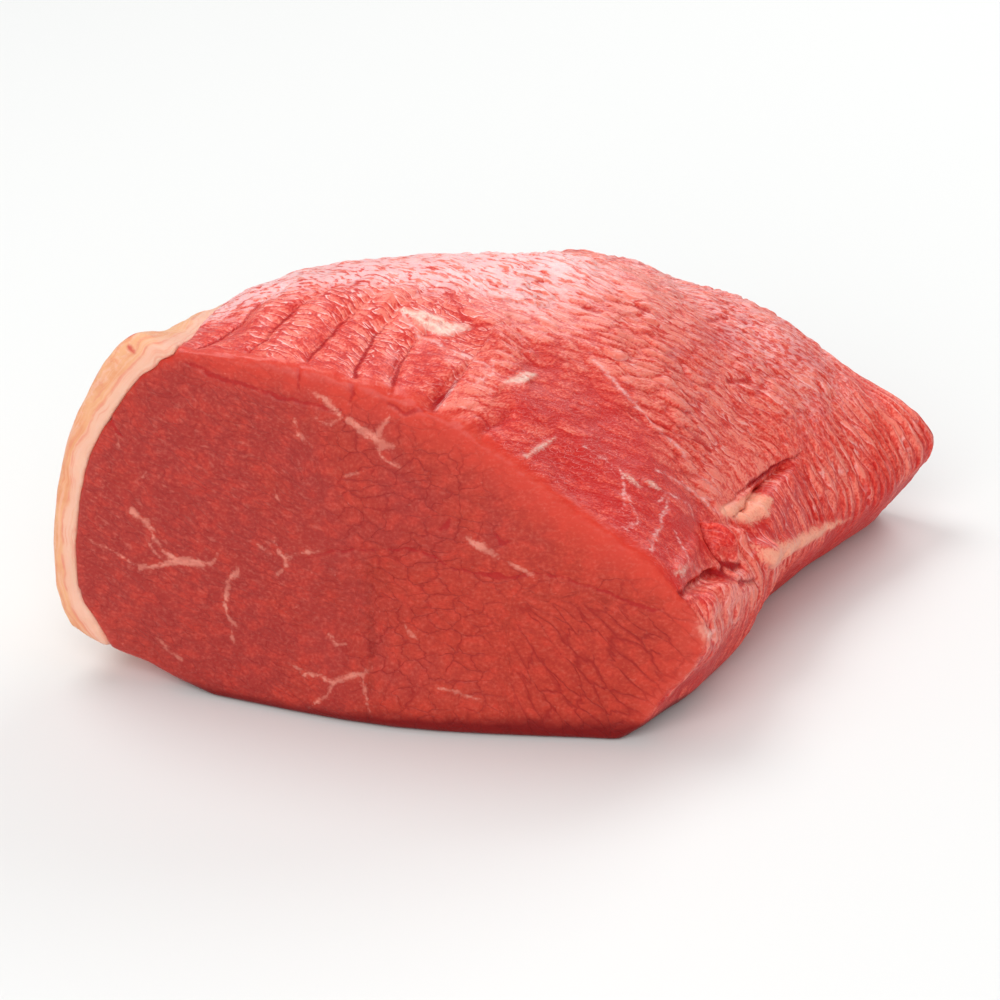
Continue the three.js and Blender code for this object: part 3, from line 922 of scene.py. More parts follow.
class GroupMaker:
    """A new node group, to be filled."""

    def __init__(self, name: str, numbers: tuple[str, ...], outputs: tuple[str, ...]) -> None:
        """Starts the group, with a vector to work on as its first input.

        Args:
            name: The group's name.
            numbers: The names of its other inputs, which are numbers.
            outputs: The names of the numbers that it gives.
        """
        self.tree = bpy.data.node_groups.new(name, "ShaderNodeTree")
        self.wiring = Wiring(self.tree)
        self.new_socket("Vector", "INPUT", Socket.VECTOR)
        for number in numbers:
            self.new_socket(number, "INPUT", Socket.NUMBER)
        for output in outputs:
            self.new_socket(output, "OUTPUT", Socket.NUMBER)
        given = self.tree.nodes.new("NodeGroupInput")
        self.result = self.tree.nodes.new("NodeGroupOutput")
        self.vector = given.outputs["Vector"]
        self.given = {number: Number(self.wiring, given.outputs[number]) for number in numbers}

    def new_socket(self, name: str, side: str, kind: Socket) -> None:
        """Adds a socket to the group's outside."""
        self.tree.interface.new_socket(name, in_out=side, socket_type=kind.value)

    def finished(self, **results: Number) -> bpy.types.NodeTree:
        """Joins the group's outputs.

        Args:
            **results: The number for each output, by its name.

        Returns:
            The group's tree.
        """
        for name, value in results.items():
            self.wiring.put(self.result, name, value)
        return self.tree


def bundles_group() -> bpy.types.NodeTree:
    """Makes bundles of fibres with thin lines between them, on a vector counted in bundles.

    Returns:
        A group that gives how deep in a line each place is, how full its bundle is there, and how far it is past the
        bundle's middle.
    """
    group = GroupMaker("Bundles", ("Width", "Wander"), ("Line", "Puff", "Ahead"))
    wiring, given = group.wiring, group.given
    place = wiring.wandered(group.vector, 0.9, given["Wander"])
    place = wiring.wandered(place, 3.1, given["Wander"] * 0.35)
    cells = {"Vector": place, "Scale": 1.0}
    edge = wiring.number("TexVoronoi", cells, "Distance", feature="DISTANCE_TO_EDGE", voronoi_dimensions="2D")
    middle = wiring.add("TexVoronoi", cells, voronoi_dimensions="2D").outputs["Position"]
    off = wiring.vector_math("SUBTRACT", {0: place, 1: middle})
    width = wiring.noise(place, 0.6, 3.0).ramp(0.36, 0.62) * given["Width"] + 0.002
    return group.finished(
        Line=(1.0 - edge / width).larger(0.0),
        Puff=edge.ramp(0.0, 0.32),
        Ahead=wiring.number("SeparateXYZ", {0: off}),
    )


def speckle_group() -> bpy.types.NodeTree:
    """Makes small specks of fat or connective tissue, on a vector in millimetres.

    Returns:
        A group that gives how much of a speck there is at each place.
    """
    group = GroupMaker("Speckle", ("Size", "Share"), ("Mask",))
    low = 0.72 - group.given["Share"] * 0.4
    fine = group.wiring.noise(group.vector, 1.0 / group.given["Size"])
    return group.finished(Mask=fine.ramp(low, low + 0.12))


def moist_film_group() -> bpy.types.NodeTree:
    """Makes the uneven wetness of raw meat, on a vector in millimetres.

    Returns:
        A group that gives a roughness and a small height.
    """
    group = GroupMaker("Moist film", ("Roughness", "Unevenness"), ("Roughness", "Height"))
    noise, place = group.wiring.noise, group.vector
    change = (noise(place, 0.12) - 0.5) + (noise(place, 1.1) - 0.5)
    return group.finished(
        Roughness=group.given["Roughness"] + group.given["Unevenness"] * change,
        Height=noise(place, 0.7, 4.0),
    )


@dataclass
class Effects:
    """The node groups that the materials share."""

    bundles: bpy.types.NodeTree = field(default_factory=bundles_group)
    speckle: bpy.types.NodeTree = field(default_factory=speckle_group)
    film: bpy.types.NodeTree = field(default_factory=moist_film_group)


def new_material(name: str) -> tuple[bpy.types.Material, Wiring]:
    """Starts a material.

    Args:
        name: Its name.

    Returns:
        The material, without nodes, and its wiring.
    """
    material = bpy.data.materials.new(name)
    material.use_nodes = True
    material.node_tree.nodes.clear()
    return material, Wiring(material.node_tree)


@dataclass(frozen=True)
class MeatFinish:
    """Raw meat: how rough and wet its surface is, and how far light goes into it."""

    roughness: float
    unevenness: float
    specular: float
    subsurface: float
    subsurface_scale: float
    subsurface_radius: tuple[float, float, float]
    bump: float
    bump_height: float
    coat_roughness: float = 0.28

    def shade(
        self, wiring: Wiring, effects: Effects, place: Value, colour: Value, height: Number, coat: Value
    ) -> None:
        """Joins the colour and the height to the material's output.

        Args:
            wiring: The material's nodes.
            effects: The shared groups.
            place: Each place, in millimetres.
            colour: Its colour.
            height: How high its fine forms stand, before the film's own.
            coat: How much wet coat there is on it.
        """
        inputs = {"Vector": place, "Roughness": self.roughness, "Unevenness": self.unevenness}
        film = wiring.group(effects.film, inputs)
        height = height + film["Height"]
        bump = wiring.add("Bump", {"Height": height, "Strength": self.bump, "Distance": self.bump_height * MM})
        shader = wiring.add("BsdfPrincipled", {
            "Base Color": colour,
            "Roughness": film["Roughness"],
            "Subsurface Weight": self.subsurface,
            "Subsurface Radius": self.subsurface_radius,
            "Subsurface Scale": self.subsurface_scale,
            "Specular IOR Level": self.specular,
            "Coat Weight": coat,
            "Coat Roughness": self.coat_roughness,
            "Normal": bump.outputs["Normal"],
        })
        wiring.add("OutputMaterial", {"Surface": shader.outputs["BSDF"]})


# ---- The lean -------------------------------------------------------------------------------------------------


@dataclass(frozen=True)
class LeanFinish(MeatFinish):
    """Raw lean beef: dusky where it is cut, pinker where it is trimmed."""

    roughness: float = 0.46
    unevenness: float = 0.25
    specular: float = 0.2
    subsurface: float = 0.25
    subsurface_scale: float = 0.004
    subsurface_radius: tuple[float, float, float] = (1.0, 0.28, 0.18)
    bump: float = 0.6
    bump_height: float = 0.3
    coat: float = 0.42
    # The cuts: flesh, the light through its edge, and the lines between its bundles.
    dusky: Colour = srgb(158, 46, 40)
    warm: Colour = srgb(178, 52, 33)
    glow: Colour = srgb(212, 60, 42)
    line: Colour = srgb(146, 8, 5)
    # Seams, and creases and furrows, whose dark red is partly painted shade.
    seam_and_crease_shade: Colour = srgb(168, 8, 13)
    # The trimmed surface: its hollows, darker as painted shade, its flesh, and the tops of its bundles, paler as
    # painted highlight.
    valley_shade: Colour = srgb(200, 34, 30)
    flesh: Colour = srgb(222, 70, 56)
    lit_crest: Colour = srgb(244, 130, 112)
    # Patches of fat, firmer fat, marbling, membrane, which also colours the painted crest highlights, and whitish
    # membrane with painted sheen.
    fat: Colour = srgb(250, 214, 198)
    suet: Colour = srgb(242, 162, 136)
    vein: Colour = srgb(222, 138, 120)
    membrane_and_highlight: Colour = srgb(252, 192, 187)
    membrane_and_sheen: Colour = srgb(254, 209, 211)
    # The foot of the cut, darkened towards the floor as painted shade.
    foot_shade: Colour = srgb(116, 4, 6)

    def cut_colour(self, wiring: Wiring, effects: Effects, depth: Number) -> Value:
        """Colours a cut face.

        Args:
            wiring: The material's nodes.
            effects: The shared groups.
            depth: How deep in the lines between the bundles each place is, with a soft painted shade beside the lines.

        Returns:
            The colour.
        """
        face = wiring.named_vector("face")
        glow = wiring.named("glow")
        plain = 1.0 - glow
        # From the broadest change of colour to the finest, and dashes that lie along the weave.
        warmth = wiring.noise(face, 0.09) * 1.6 + wiring.named("warmth")
        blotches = wiring.noise(face, 0.3, 5.0)
        pores = wiring.noise(face, 1.2, 4.0)
        dashes = wiring.noise(wiring.stretched(wiring.named_vector("weave"), (2.0, 1.7, 1.0)), 1.0, 3.0)
        dashed = plain * wiring.named("woven")
        # Noise added to the distance from a mark makes its edge ragged.
        ragged = wiring.noise(face, 0.6, 3.0) - 0.5
        seam = (ragged * 1.2 + wiring.named("seam")).ramp(0.55, -0.1)
        ragged = ragged + (pores * 0.5 - 0.25)
        vein = (ragged * 2.2 + wiring.named("vein")).ramp(0.4, -0.7)
        speck = wiring.group(effects.speckle, {"Vector": face, "Size": 1.4, "Share": 0.07})["Mask"]
        return wiring.layered(
            self.dusky,
            (warmth.ramp(0.8, 1.8), self.warm),
            (blotches.ramp(0.46, 0.66) * 0.3 + 0.12, self.glow),
            (blotches.ramp(0.5, 0.34) * 0.16 * plain, self.line),
            (dashes.ramp(0.55, 0.7) * dashed * 0.34, self.line),
            (dashes.ramp(0.44, 0.28) * dashed * 0.2, self.vein),
            (pores.ramp(0.54, 0.32) * 0.24 * plain, self.line),
            (glow, self.glow),
            (pores.ramp(0.5, 0.74) * 0.13, self.vein),
            (depth * 0.64, self.line),
            (seam * 0.7, self.seam_and_crease_shade),
            (vein.larger(speck * 0.3) * (blotches.ramp(0.36, 0.6) * 0.4 + 0.5), self.vein),
        )

    def skin_colour(self, wiring: Wiring, bundles: dict[str, Number]) -> tuple[Value, Number]:
        """Colours the trimmed surface.

        Args:
            wiring: The material's nodes.
            bundles: What the group of bundles gives.

        Returns:
            The colour, and how high the fibres stand.
        """
        flow = wiring.named_vector("flow")
        puff, ahead = bundles["Puff"], bundles["Ahead"]
        ridged = wiring.noise(flow, 0.06).ramp(0.4, 0.58) * 0.7 + 0.3
        raised = puff * (ahead * -0.6 + 1.0) * wiring.named("bundled") * ridged
        fibres = wiring.noise(wiring.stretched(flow, (0.9, 0.4, 1.0)), 1.0, 3.0) - 0.5
        grain = wiring.noise(flow, 1.5, 3.0) - 0.5
        # The tone follows the bundles' heights: paler tops and darker hollows are painted light and shade, over the
        # flesh's own changes.
        tone_and_light = wiring.noise(flow, 0.07, 3.0) * 1.1 + wiring.named("tone_and_light")
        tone_and_light = tone_and_light + raised * 0.6 + fibres * 0.7 + grain * 2.1
        # Painted highlights: pale broken lines along the near side of each bundle's top.
        broken = wiring.noise(flow, 0.35).ramp(0.34, 0.54)
        rim = puff.ramp(0.1, 0.3) * puff.ramp(0.8, 0.4) * ahead.ramp(0.25, -0.2)
        crest_highlight = rim * wiring.named("lined") * ridged * broken
        # Whitish membrane in fine streaks, which also paints the sheen along the crest and the far skyline.
        membrane_and_sheen = wiring.named("membrane_and_sheen")
        streaks = wiring.noise(wiring.stretched(flow, (0.9, 0.17, 1.0)), 1.0, 4.0)
        streaks = streaks + membrane_and_sheen * 0.16 + fibres * 0.4
        pit = (grain * 2.0 + wiring.named("pit")).ramp(0.5, -0.5)
        # Creases and furrows in dark red, partly their own colour and partly painted shade.
        crease = (grain * 0.8 + wiring.named("crease")).ramp(0.5, -0.4)
        ragged = grain + fibres
        membrane_and_highlight = (ragged * 2.4 + wiring.named("membrane_and_highlight")).ramp(0.7, -0.6)
        fleck = (ragged * 2.6 + wiring.named("fleck")).ramp(0.8, -1.2)
        suet = (grain * 3.0 + wiring.named("suet")).ramp(0.6, -0.7)
        glow = wiring.named("glow")
        colour = wiring.layered(
            self.valley_shade,
            (tone_and_light.ramp(0.0, 0.6), self.flesh),
            (tone_and_light.ramp(0.5, 1.2) * 0.9, self.lit_crest),
            (crest_highlight, self.membrane_and_highlight),
            (streaks.ramp(0.52, 0.63) * membrane_and_sheen, self.membrane_and_sheen),
            # Pits take the hollows' dark red, partly as painted shade.
            (pit * 0.75, self.valley_shade),
            (crease, self.seam_and_crease_shade),
            (membrane_and_highlight * (broken * 0.44 + 0.22), self.membrane_and_highlight),
            (fleck * (fibres * 2.0 + 0.75), self.fat),
            (suet * (grain.ramp(-0.3, 0.05) * 0.4 + 0.6), self.suet),
            (glow, self.glow),
        )
        # The fibres hardly stand out where light comes through or fat lies over them.
        bare = glow.larger(suet * 0.5) * -0.9 + 1.0
        return colour, (raised * 0.45 + fibres * 1.2 + grain * 2.1) * bare

    def material(self, effects: Effects) -> bpy.types.Material:
        """Makes the material of the whole lean.

        Args:
            effects: The shared groups.

        Returns:
            The material.
        """
        material, wiring = new_material("Raw lean")
        cut = wiring.named("cut")
        inputs = {"Vector": wiring.named_vector("cells"), "Width": wiring.named("width"), "Wander": 1.0}
        bundles = wiring.group(effects.bundles, inputs)
        # Dark lines between the bundles, with a soft painted shade beside them that rounds each bundle on the flat cut.
        depth = (bundles["Puff"] * -0.3 + bundles["Line"] + 0.3) * wiring.named("lined")
        skin_colour, skin_height = self.skin_colour(wiring, bundles)
        cut_colour = self.cut_colour(wiring, effects, depth)
        # The trimmed and cut colours, with painted shade at the foot of the front over both.
        colour = wiring.layered(skin_colour, (cut, cut_colour), (wiring.named("foot_shade"), self.foot_shade))
        height = wiring.number("Mix", {0: cut, 2: skin_height, 3: depth * -0.8})
        dry = wiring.named("crease").ramp(0.6, -0.2).larger(wiring.named("dry"))
        coat = (1.0 - dry) * self.coat
        self.shade(wiring, effects, wiring.named_vector("flow"), colour, height, coat)
        return material


@dataclass(frozen=True)
class Scales:
    """Bundles of fibres that run round the girth and overlap along the grain, as scales do."""

    seed: Seed
    along: float
    round_it: float
    steepness: float

    def heights(self, flow: np.ndarray) -> np.ndarray:
        """Works out how high the bundles stand.

        Args:
            flow: Each point's place along the bundles' lines and round the girth.

        Returns:
            A height from about 0 to 1 for each point.
        """
        cells = patchwork(flow[:, 0] / self.along, flow[:, 1] / self.round_it, self.seed)
        return rise(cells.edge, 0, self.steepness) * (0.6 - 0.75 * cells.ahead + 0.25 * cells.tint)


@dataclass(frozen=True)
class Relief:
    """How far each form stands out of the lean or goes into it, in millimetres."""

    bundles: float = 1.1
    lumps: float = 0.6
    ripples: float = 0.25
    crease: float = 0.9
    crease_sides: float = 0.2
    furrow: float = 0.4
    furrow_sides: float = 0.6
    pit: float = 0.55
    fat_patch: float = 0.3
    cut_lumps: float = 0.25
    cut_ripples: float = 0.1
    seam: float = 0.3
    # Which share of the bundles' height is missing in places.
    missing_on_panel: float = 0.88
    missing_on_slope: float = 0.8
    missing_under: float = 0.75
    missing_on_rolls: float = 0.85
    missing_far: float = 0.25


@dataclass(frozen=True)
class CutBundles:
    """The bundles of fibres on a cut, seen end on: woven at the left, cobbled in the middle, fanned out below.

    Each size is that of one bundle along its rows and across them.
    """

    weave: tuple[float, float] = (5.0, 1.9)
    weave_turn: float = math.radians(-24)
    cobble: tuple[float, float] = (5.4, 3.8)
    fan: tuple[float, float] = (11.0, 3.3)
    fan_middle: tuple[float, float] = (-20.0, 95.0)
    fan_radius: float = 100.0

    def weave_at(self, spot: np.ndarray) -> np.ndarray:
        """Returns each place on a cut, counted in bundles of the weave."""
        cos, sin = math.cos(self.weave_turn), math.sin(self.weave_turn)
        return spot @ np.array([[cos, -sin], [sin, cos]]) / np.array(self.weave)

    def fan_at(self, spot: np.ndarray) -> np.ndarray:
        """Counts places on a cut in bundles of the fan.

        Args:
            spot: Where, across and up the cut.

        Returns:
            Each place out from the fan's middle and round it, in bundles.
        """
        out = spot - np.array(self.fan_middle)
        turn = np.arctan2(out[:, 0], -out[:, 1]) * self.fan_radius
        return np.stack([np.hypot(*out.T), turn], axis=1) / np.array(self.fan)


@dataclass
class Lean:
    """The lean: one muscle, cut at both ends, with its surface trimmed."""

    finish: LeanFinish = field(default_factory=LeanFinish)
    relief: Relief = field(default_factory=Relief)
    cut_bundles: CutBundles = field(default_factory=CutBundles)
    voxel: float = 0.5
    softening: int = 12
    triangles: int = 192_000
    # The bundles that stand out of the trimmed surface, smaller ones on them, and those of the lobe.
    scales: Scales = Scales(Seed.BUNDLES, 4.2, 10, 0.34)
    small_scales: Scales = Scales(Seed.SMALL_BUNDLES, 2.3, 4.4, 0.4)
    lobe_scales: Scales = Scales(Seed.LOBE_BUNDLES, 3.2, 17, 0.38)
    # The finer bundles that colours and bumps show, along the grain and round the girth: mostly, and in two zones.
    bundle: tuple[float, float] = (2.8, 8.0)
    panel_bundle: tuple[float, float] = (1.7, 6.0)
    slope_bundle: tuple[float, float] = (1.5, 1.7)

    def ridges(self, ground: Ground) -> np.ndarray:
        """Returns the height, from about 0 to 1, of the bundles that run round the girth."""
        height = 0.8 * self.scales.heights(ground.flow) + 0.3 * self.small_scales.heights(ground.flow)
        return height + ground.lobe * (self.lobe_scales.heights(ground.flow) - height)

    def heights(self, ground: Ground) -> np.ndarray:
        """Works out how far the surface stands out.

        Args:
            ground: The lean's surface.

        Returns:
            A height in millimetres for each point.
        """
        relief, points = self.relief, ground.points
        low = rise(ground.z, 2, 12)
        skin = ground.skin * low
        used = skin > 0.02
        crease = ground.to_skin_marks(Marks.CREASES, used)
        fat = ground.to_skin_marks(Marks.FLECKS + Marks.SUET, used)
        pit = ground.to_skin_marks(Marks.PITS, used)
        furrow = ground.to_furrows(used)
        rolls = np.array([roll.share_at(unroll(points)) for roll in Marks.ROLLS])

        strength = relief.bundles * (1 - relief.missing_on_panel * ground.panel)
        strength *= 1 - relief.missing_on_slope * ground.slope
        strength *= 1 - relief.missing_under * ground.under
        strength *= (0.4 + 0.6 * rise(billow(points, 15, Seed.BUNDLE_STRENGTH), -0.3, 0.2)) * rise(fat, -0.6, 1.2)
        strength *= 1 - relief.missing_on_rolls * rolls.max(axis=0)
        strength *= 1 - relief.missing_far * rise(ground.y, 20, 60)
        height = strength * (self.ridges(ground) - 0.5) * rise(crease, 0.0, 3.5)
        height += np.array([roll.height for roll in Marks.ROLLS]) @ rolls
        height += relief.lumps * billow(points, 10, Seed.SKIN_LUMPS)
        height += relief.ripples * billow(points, 2.4, Seed.SKIN_RIPPLES)
        height -= relief.crease * dip(crease + 0.4, 0.6) + relief.crease_sides * dip(crease, 2.0)
        height -= relief.furrow * dip(furrow, 0.6) + relief.furrow_sides * dip(furrow, 2.4)
        height -= relief.pit * rise(pit, 0.9, -0.7)
        height += relief.fat_patch * rise(fat, 1.2, -1.0) * (1 + 2.0 * billow(points, 2.6, Seed.FAT_PATCHES))

        cut_height = relief.cut_lumps * billow(points, 11, Seed.CUT_LUMPS)
        cut_height += relief.cut_ripples * billow(points, 4, Seed.CUT_RIPPLES)
        seam = ground.to_cut_marks(Marks.SEAMS, ground.cut > 0.3)
        return skin * height + ground.cut * (low * cut_height - relief.seam * dip(seam, 0.5))

    def glow(self, ground: Ground) -> np.ndarray:
        """Works out how much light comes through the flesh near the edge of the cut.

        Args:
            ground: The lean's surface.

        Returns:
            A number from 0 to 1 for each point.
        """
        points, x, z, cut = ground.points, ground.x, ground.z, ground.cut
        edge = np.flatnonzero((cut > 0.2) & (cut < 0.8))
        tree = KDTree(len(edge))
        for index, place in enumerate(points[edge]):
            tree.insert(place, index)
        tree.balance()
        inside = np.flatnonzero(cut > 0.05)
        reach = np.full(len(points), FAR)
        reach[inside] = [tree.find(place)[2] for place in points[inside]]
        reach += 1.2 * billow(points, 8, Seed.GLOW)
        # The cut's upper edge, its right corner and its foot, and then the rounded edge above the cut.
        top = 0.75 * rise(reach, 11, 0) * rise(x, -60, -46) * rise(z, 30, 46) * (0.78 + 0.22 * rise(x, -45, -5))
        corner = 0.36 * rise(reach, 10, 1) * rise(x, 44, 58) * rise(z, 46, 34)
        thin = 0.45 * rise(reach, 3.4, 0.6) * rise(z, 3, 9)
        behind = FRONT.behind(points) + 1.4 * billow(points, 5, Seed.GLOW_ROUNDED)
        rounded = 0.75 * rise(behind, 5.5, 2.0) * rise(z, 40, 50)
        return np.where(cut > 0.5, np.maximum(np.maximum(top, corner), thin), rounded)

    def paint(self, skin: Skin) -> None:
        """Keeps on the mesh everything that the material reads.

        Args:
            skin: The lean's finished mesh.
        """
        ground = Ground(skin.points)
        glow = self.glow(ground)
        skin.store("cut", ground.cut)
        skin.store("flow", ground.flow)
        skin.store("glow", glow)
        self.paint_skin(skin, ground)
        self.paint_cut(skin, ground)
        self.paint_bundles(skin, ground, glow)

    def paint_skin(self, skin: Skin, ground: Ground) -> None:
        """Keeps on the mesh how the trimmed surface's colour and wetness change, and where its marks are.

        Args:
            skin: The mesh.
            ground: Its surface.
        """
        x, y, z = ground.x, ground.y, ground.z
        # The right flank, and its more even far end.
        flank = rise(x, 10, 30) * rise(y, -5, 15)
        far = rise(y, 20, 60) * rise(x, 10, 30)
        # The redder flesh between the creases.
        flushed = rise(x, 50, 55) * rise(z, 43, 40) * rise(z, 22, 28) * rise(y, 62, 42) * rise(y, 10, 22)
        # The crest behind the panels: its membrane is thickest there, and its paler colour is partly painted sheen.
        crown = rise(y - 0.6 * x, -10, 6) * rise(z, 83, 93) * (0.6 + 0.4 * rise(x, 20, -5))
        # The bundles' heights set the tone: their paler tops and darker hollows are painted light and shade.
        tone_and_light = (0.76 - 0.3 * far) * self.ridges(ground) + 0.13 * far
        tone_and_light -= 0.28 + 0.26 * ground.panel + 0.5 * ground.slope
        tone_and_light += 0.12 * rise(z, 70, 84) * rise(x, 0, 10) - 0.1 * rise(y, 20, 60) * rise(x, 25, 40)
        # Painted shade darkens the underside's tone, and painted sheen lightens the crown's.
        skin.store("tone_and_light", tone_and_light - 0.4 * flushed + 0.3 * crown - 0.6 * ground.under)
        # Membrane colour, strongest on the crown and along the far skyline, where it is partly painted sheen.
        membrane_and_sheen = 0.72 * crown + 0.16 * rise(y, 0, 40) * rise(z, 44, 70) + 0.26 * rise(y, 48, 78) * rise(z, 34, 50)
        skin.store("membrane_and_sheen", np.clip(membrane_and_sheen, 0, 0.9))

        # The foot of the front, darkened towards the floor as painted shade.
        soaked = z - 2.5 * rise(x, -40, 40) + 0.8 * billow(ground.points, 5, Seed.WET)
        foot_shade = 0.95 * rise(soaked, 4.4, 1.6) * rise(y, 10, -20)
        skin.store("foot_shade", foot_shade)
        dry = 0.8 * ground.under + 0.6 * ground.slope + 0.6 * np.maximum(flushed, flank) + foot_shade
        skin.store("dry", np.clip(np.maximum(0.5 * ground.cut, dry), 0, 1))
        # The bundles flatten out on the panels' border, where two sizes of them meet.
        seamless = np.abs(2 * ground.panel - 1) ** 0.5
        skin.store("bundled", (1 - 0.9 * ground.slope) * (1 - 0.5 * ground.under) * seamless)

        used = ground.skin > 0.05
        marks = {"membrane_and_highlight": Marks.WEBS, "fleck": Marks.FLECKS, "suet": Marks.SUET, "pit": Marks.PITS}
        for name, strands in marks.items():
            skin.store(name, ground.to_skin_marks(strands, used))
        # Creases and furrows share one distance; their dark red is partly painted shade.
        crease = ground.to_skin_marks(Marks.CREASES, used)
        skin.store("crease", np.minimum(crease, ground.to_furrows(used) + 0.8 * rise(y, -36, -14)))

    def paint_cut(self, skin: Skin, ground: Ground) -> None:
        """Keeps on the mesh how the cuts' colour changes, and where their marks are.

        Args:
            skin: The mesh.
            ground: Its surface.
        """
        x, y, z = ground.x, ground.y, ground.z
        skin.store("face", np.stack([x, z, y * 0.15], axis=1))
        lower = rise(z, 48, 40) * rise(x, -20, 10) - 0.6 * rise(z, 40, 48) * rise(x, 0, 20)
        skin.store("warmth", 0.9 * rise(x, -60, 50) + 0.05 + 0.35 * lower)
        used = ground.cut > 0.05
        skin.store("vein", ground.to_cut_marks(Marks.VEINS, used))
        skin.store("seam", ground.to_cut_marks(Marks.SEAMS, used))

    def paint_bundles(self, skin: Skin, ground: Ground, glow: np.ndarray) -> None:
        """Keeps on the mesh each vertex's place counted in bundles, and how clear the lines between them are.

        Args:
            skin: The mesh.
            ground: Its surface.
            glow: How much light comes through at each vertex.
        """
        x, z = ground.x, ground.z
        on_cut = ground.cut > 0.5
        spot = wandered(ground.points[:, [0, 2]], 9, 1.6, Seed.CUT_BUNDLES)
        weave = self.cut_bundles.weave_at(spot)
        into_fan = rise(x, 12, 32) * rise(z, 44, 34)
        into_weave = rise(x + 0.2 * z + 9 * billow(spot, 16, Seed.WEAVE_BORDER), -2, -22) * (1 - into_fan)
        in_fan, in_weave = into_fan > 0.5, into_weave > 0.5
        cells = np.where(in_weave[:, None], weave, spot / np.array(self.cut_bundles.cobble))
        cells = np.where(in_fan[:, None], self.cut_bundles.fan_at(spot), cells)
        lined = np.select([in_fan, in_weave], [0.9, 0.6], 0.8) * (1 - glow)
        # The lines fade out towards a border between two patterns, because they don't meet there.
        lined *= np.minimum(np.abs(2 * into_fan - 1), np.abs(2 * into_weave - 1)) ** 0.5
        lined *= 1 - 0.7 * rise(x, 10, 26) * rise(z, 43, 47)

        on_slope, on_panel = ground.slope > 0.5, ground.panel > 0.5
        bundle = np.where(on_panel[:, None], self.panel_bundle, self.bundle)
        bundle = np.where(on_slope[:, None], self.slope_bundle, bundle)
        # How strong the painted highlights along the bundles' tops are on the trimmed surface.
        crest_highlight = np.where(on_slope, 0.3, 0.5 + 0.5 * ground.panel - 0.4 * ground.under)
        crest_highlight *= np.abs((2 * ground.slope - 1) * (2 * ground.panel - 1)) ** 0.5

        flat = np.zeros((len(spot), 1))
        cells = np.where(on_cut[:, None], cells, ground.flow[:, :2] / bundle)
        skin.store("cells", np.hstack([cells, flat]))
        skin.store("lined", np.where(on_cut, lined, crest_highlight) * np.abs(2 * ground.cut - 1))
        skin.store("width", np.where(on_cut & in_fan, 0.17, 0.1))
        skin.store("weave", np.hstack([weave, flat]))
        skin.store("woven", 0.2 + 0.8 * into_weave * rise(z + 9 * billow(spot, 14, Seed.WEAVE_STRENGTH), 14, 40))

    def keep(self, ground: Ground) -> np.ndarray:
        """Works out how much the mesh's fineness matters.

        Args:
            ground: The lean's surface.

        Returns:
            A number from 0 to 1 for each point.
        """
        seen = rise(ground.z, 1, 6) * rise(ground.x, -66, -58)
        worth = seen * (0.5 * ground.skin + 0.7 * ground.front + 0.3 * ground.back)
        used = ground.skin > 0.3
        marks = ground.to_cut_marks(Marks.VEINS + Marks.SEAMS, ground.cut > 0.3)
        skin_marks = Marks.WEBS + Marks.FLECKS + Marks.SUET + Marks.CREASES
        marks = np.minimum(marks, ground.to_skin_marks(skin_marks, used))
        marks = np.minimum(marks, ground.to_furrows(used))
        rim = (ground.front > 0.02) & (ground.front < 0.98)
        return np.where((marks < 0.8) | rim, 1.0, worth)

    def build(self, effects: Effects) -> bpy.types.Object:
        """Makes the lean.

        Args:
            effects: The node groups that the materials share.

        Returns:
            Its piece.
        """
        piece = copy_of("lean", "beef_lean")
        skin = remesh(piece, self.voxel)
        skin.soften(self.softening)
        skin.push_out(self.heights(Ground(skin.points)))
        skin = thin_out(piece, self.triangles, self.keep(Ground(skin.points)))
        self.paint(skin)
        shade_smooth(piece.data)
        piece.data.materials.append(self.finish.material(effects))
        return piece


# ---- The fat cap ----------------------------------------------------------------------------------------------


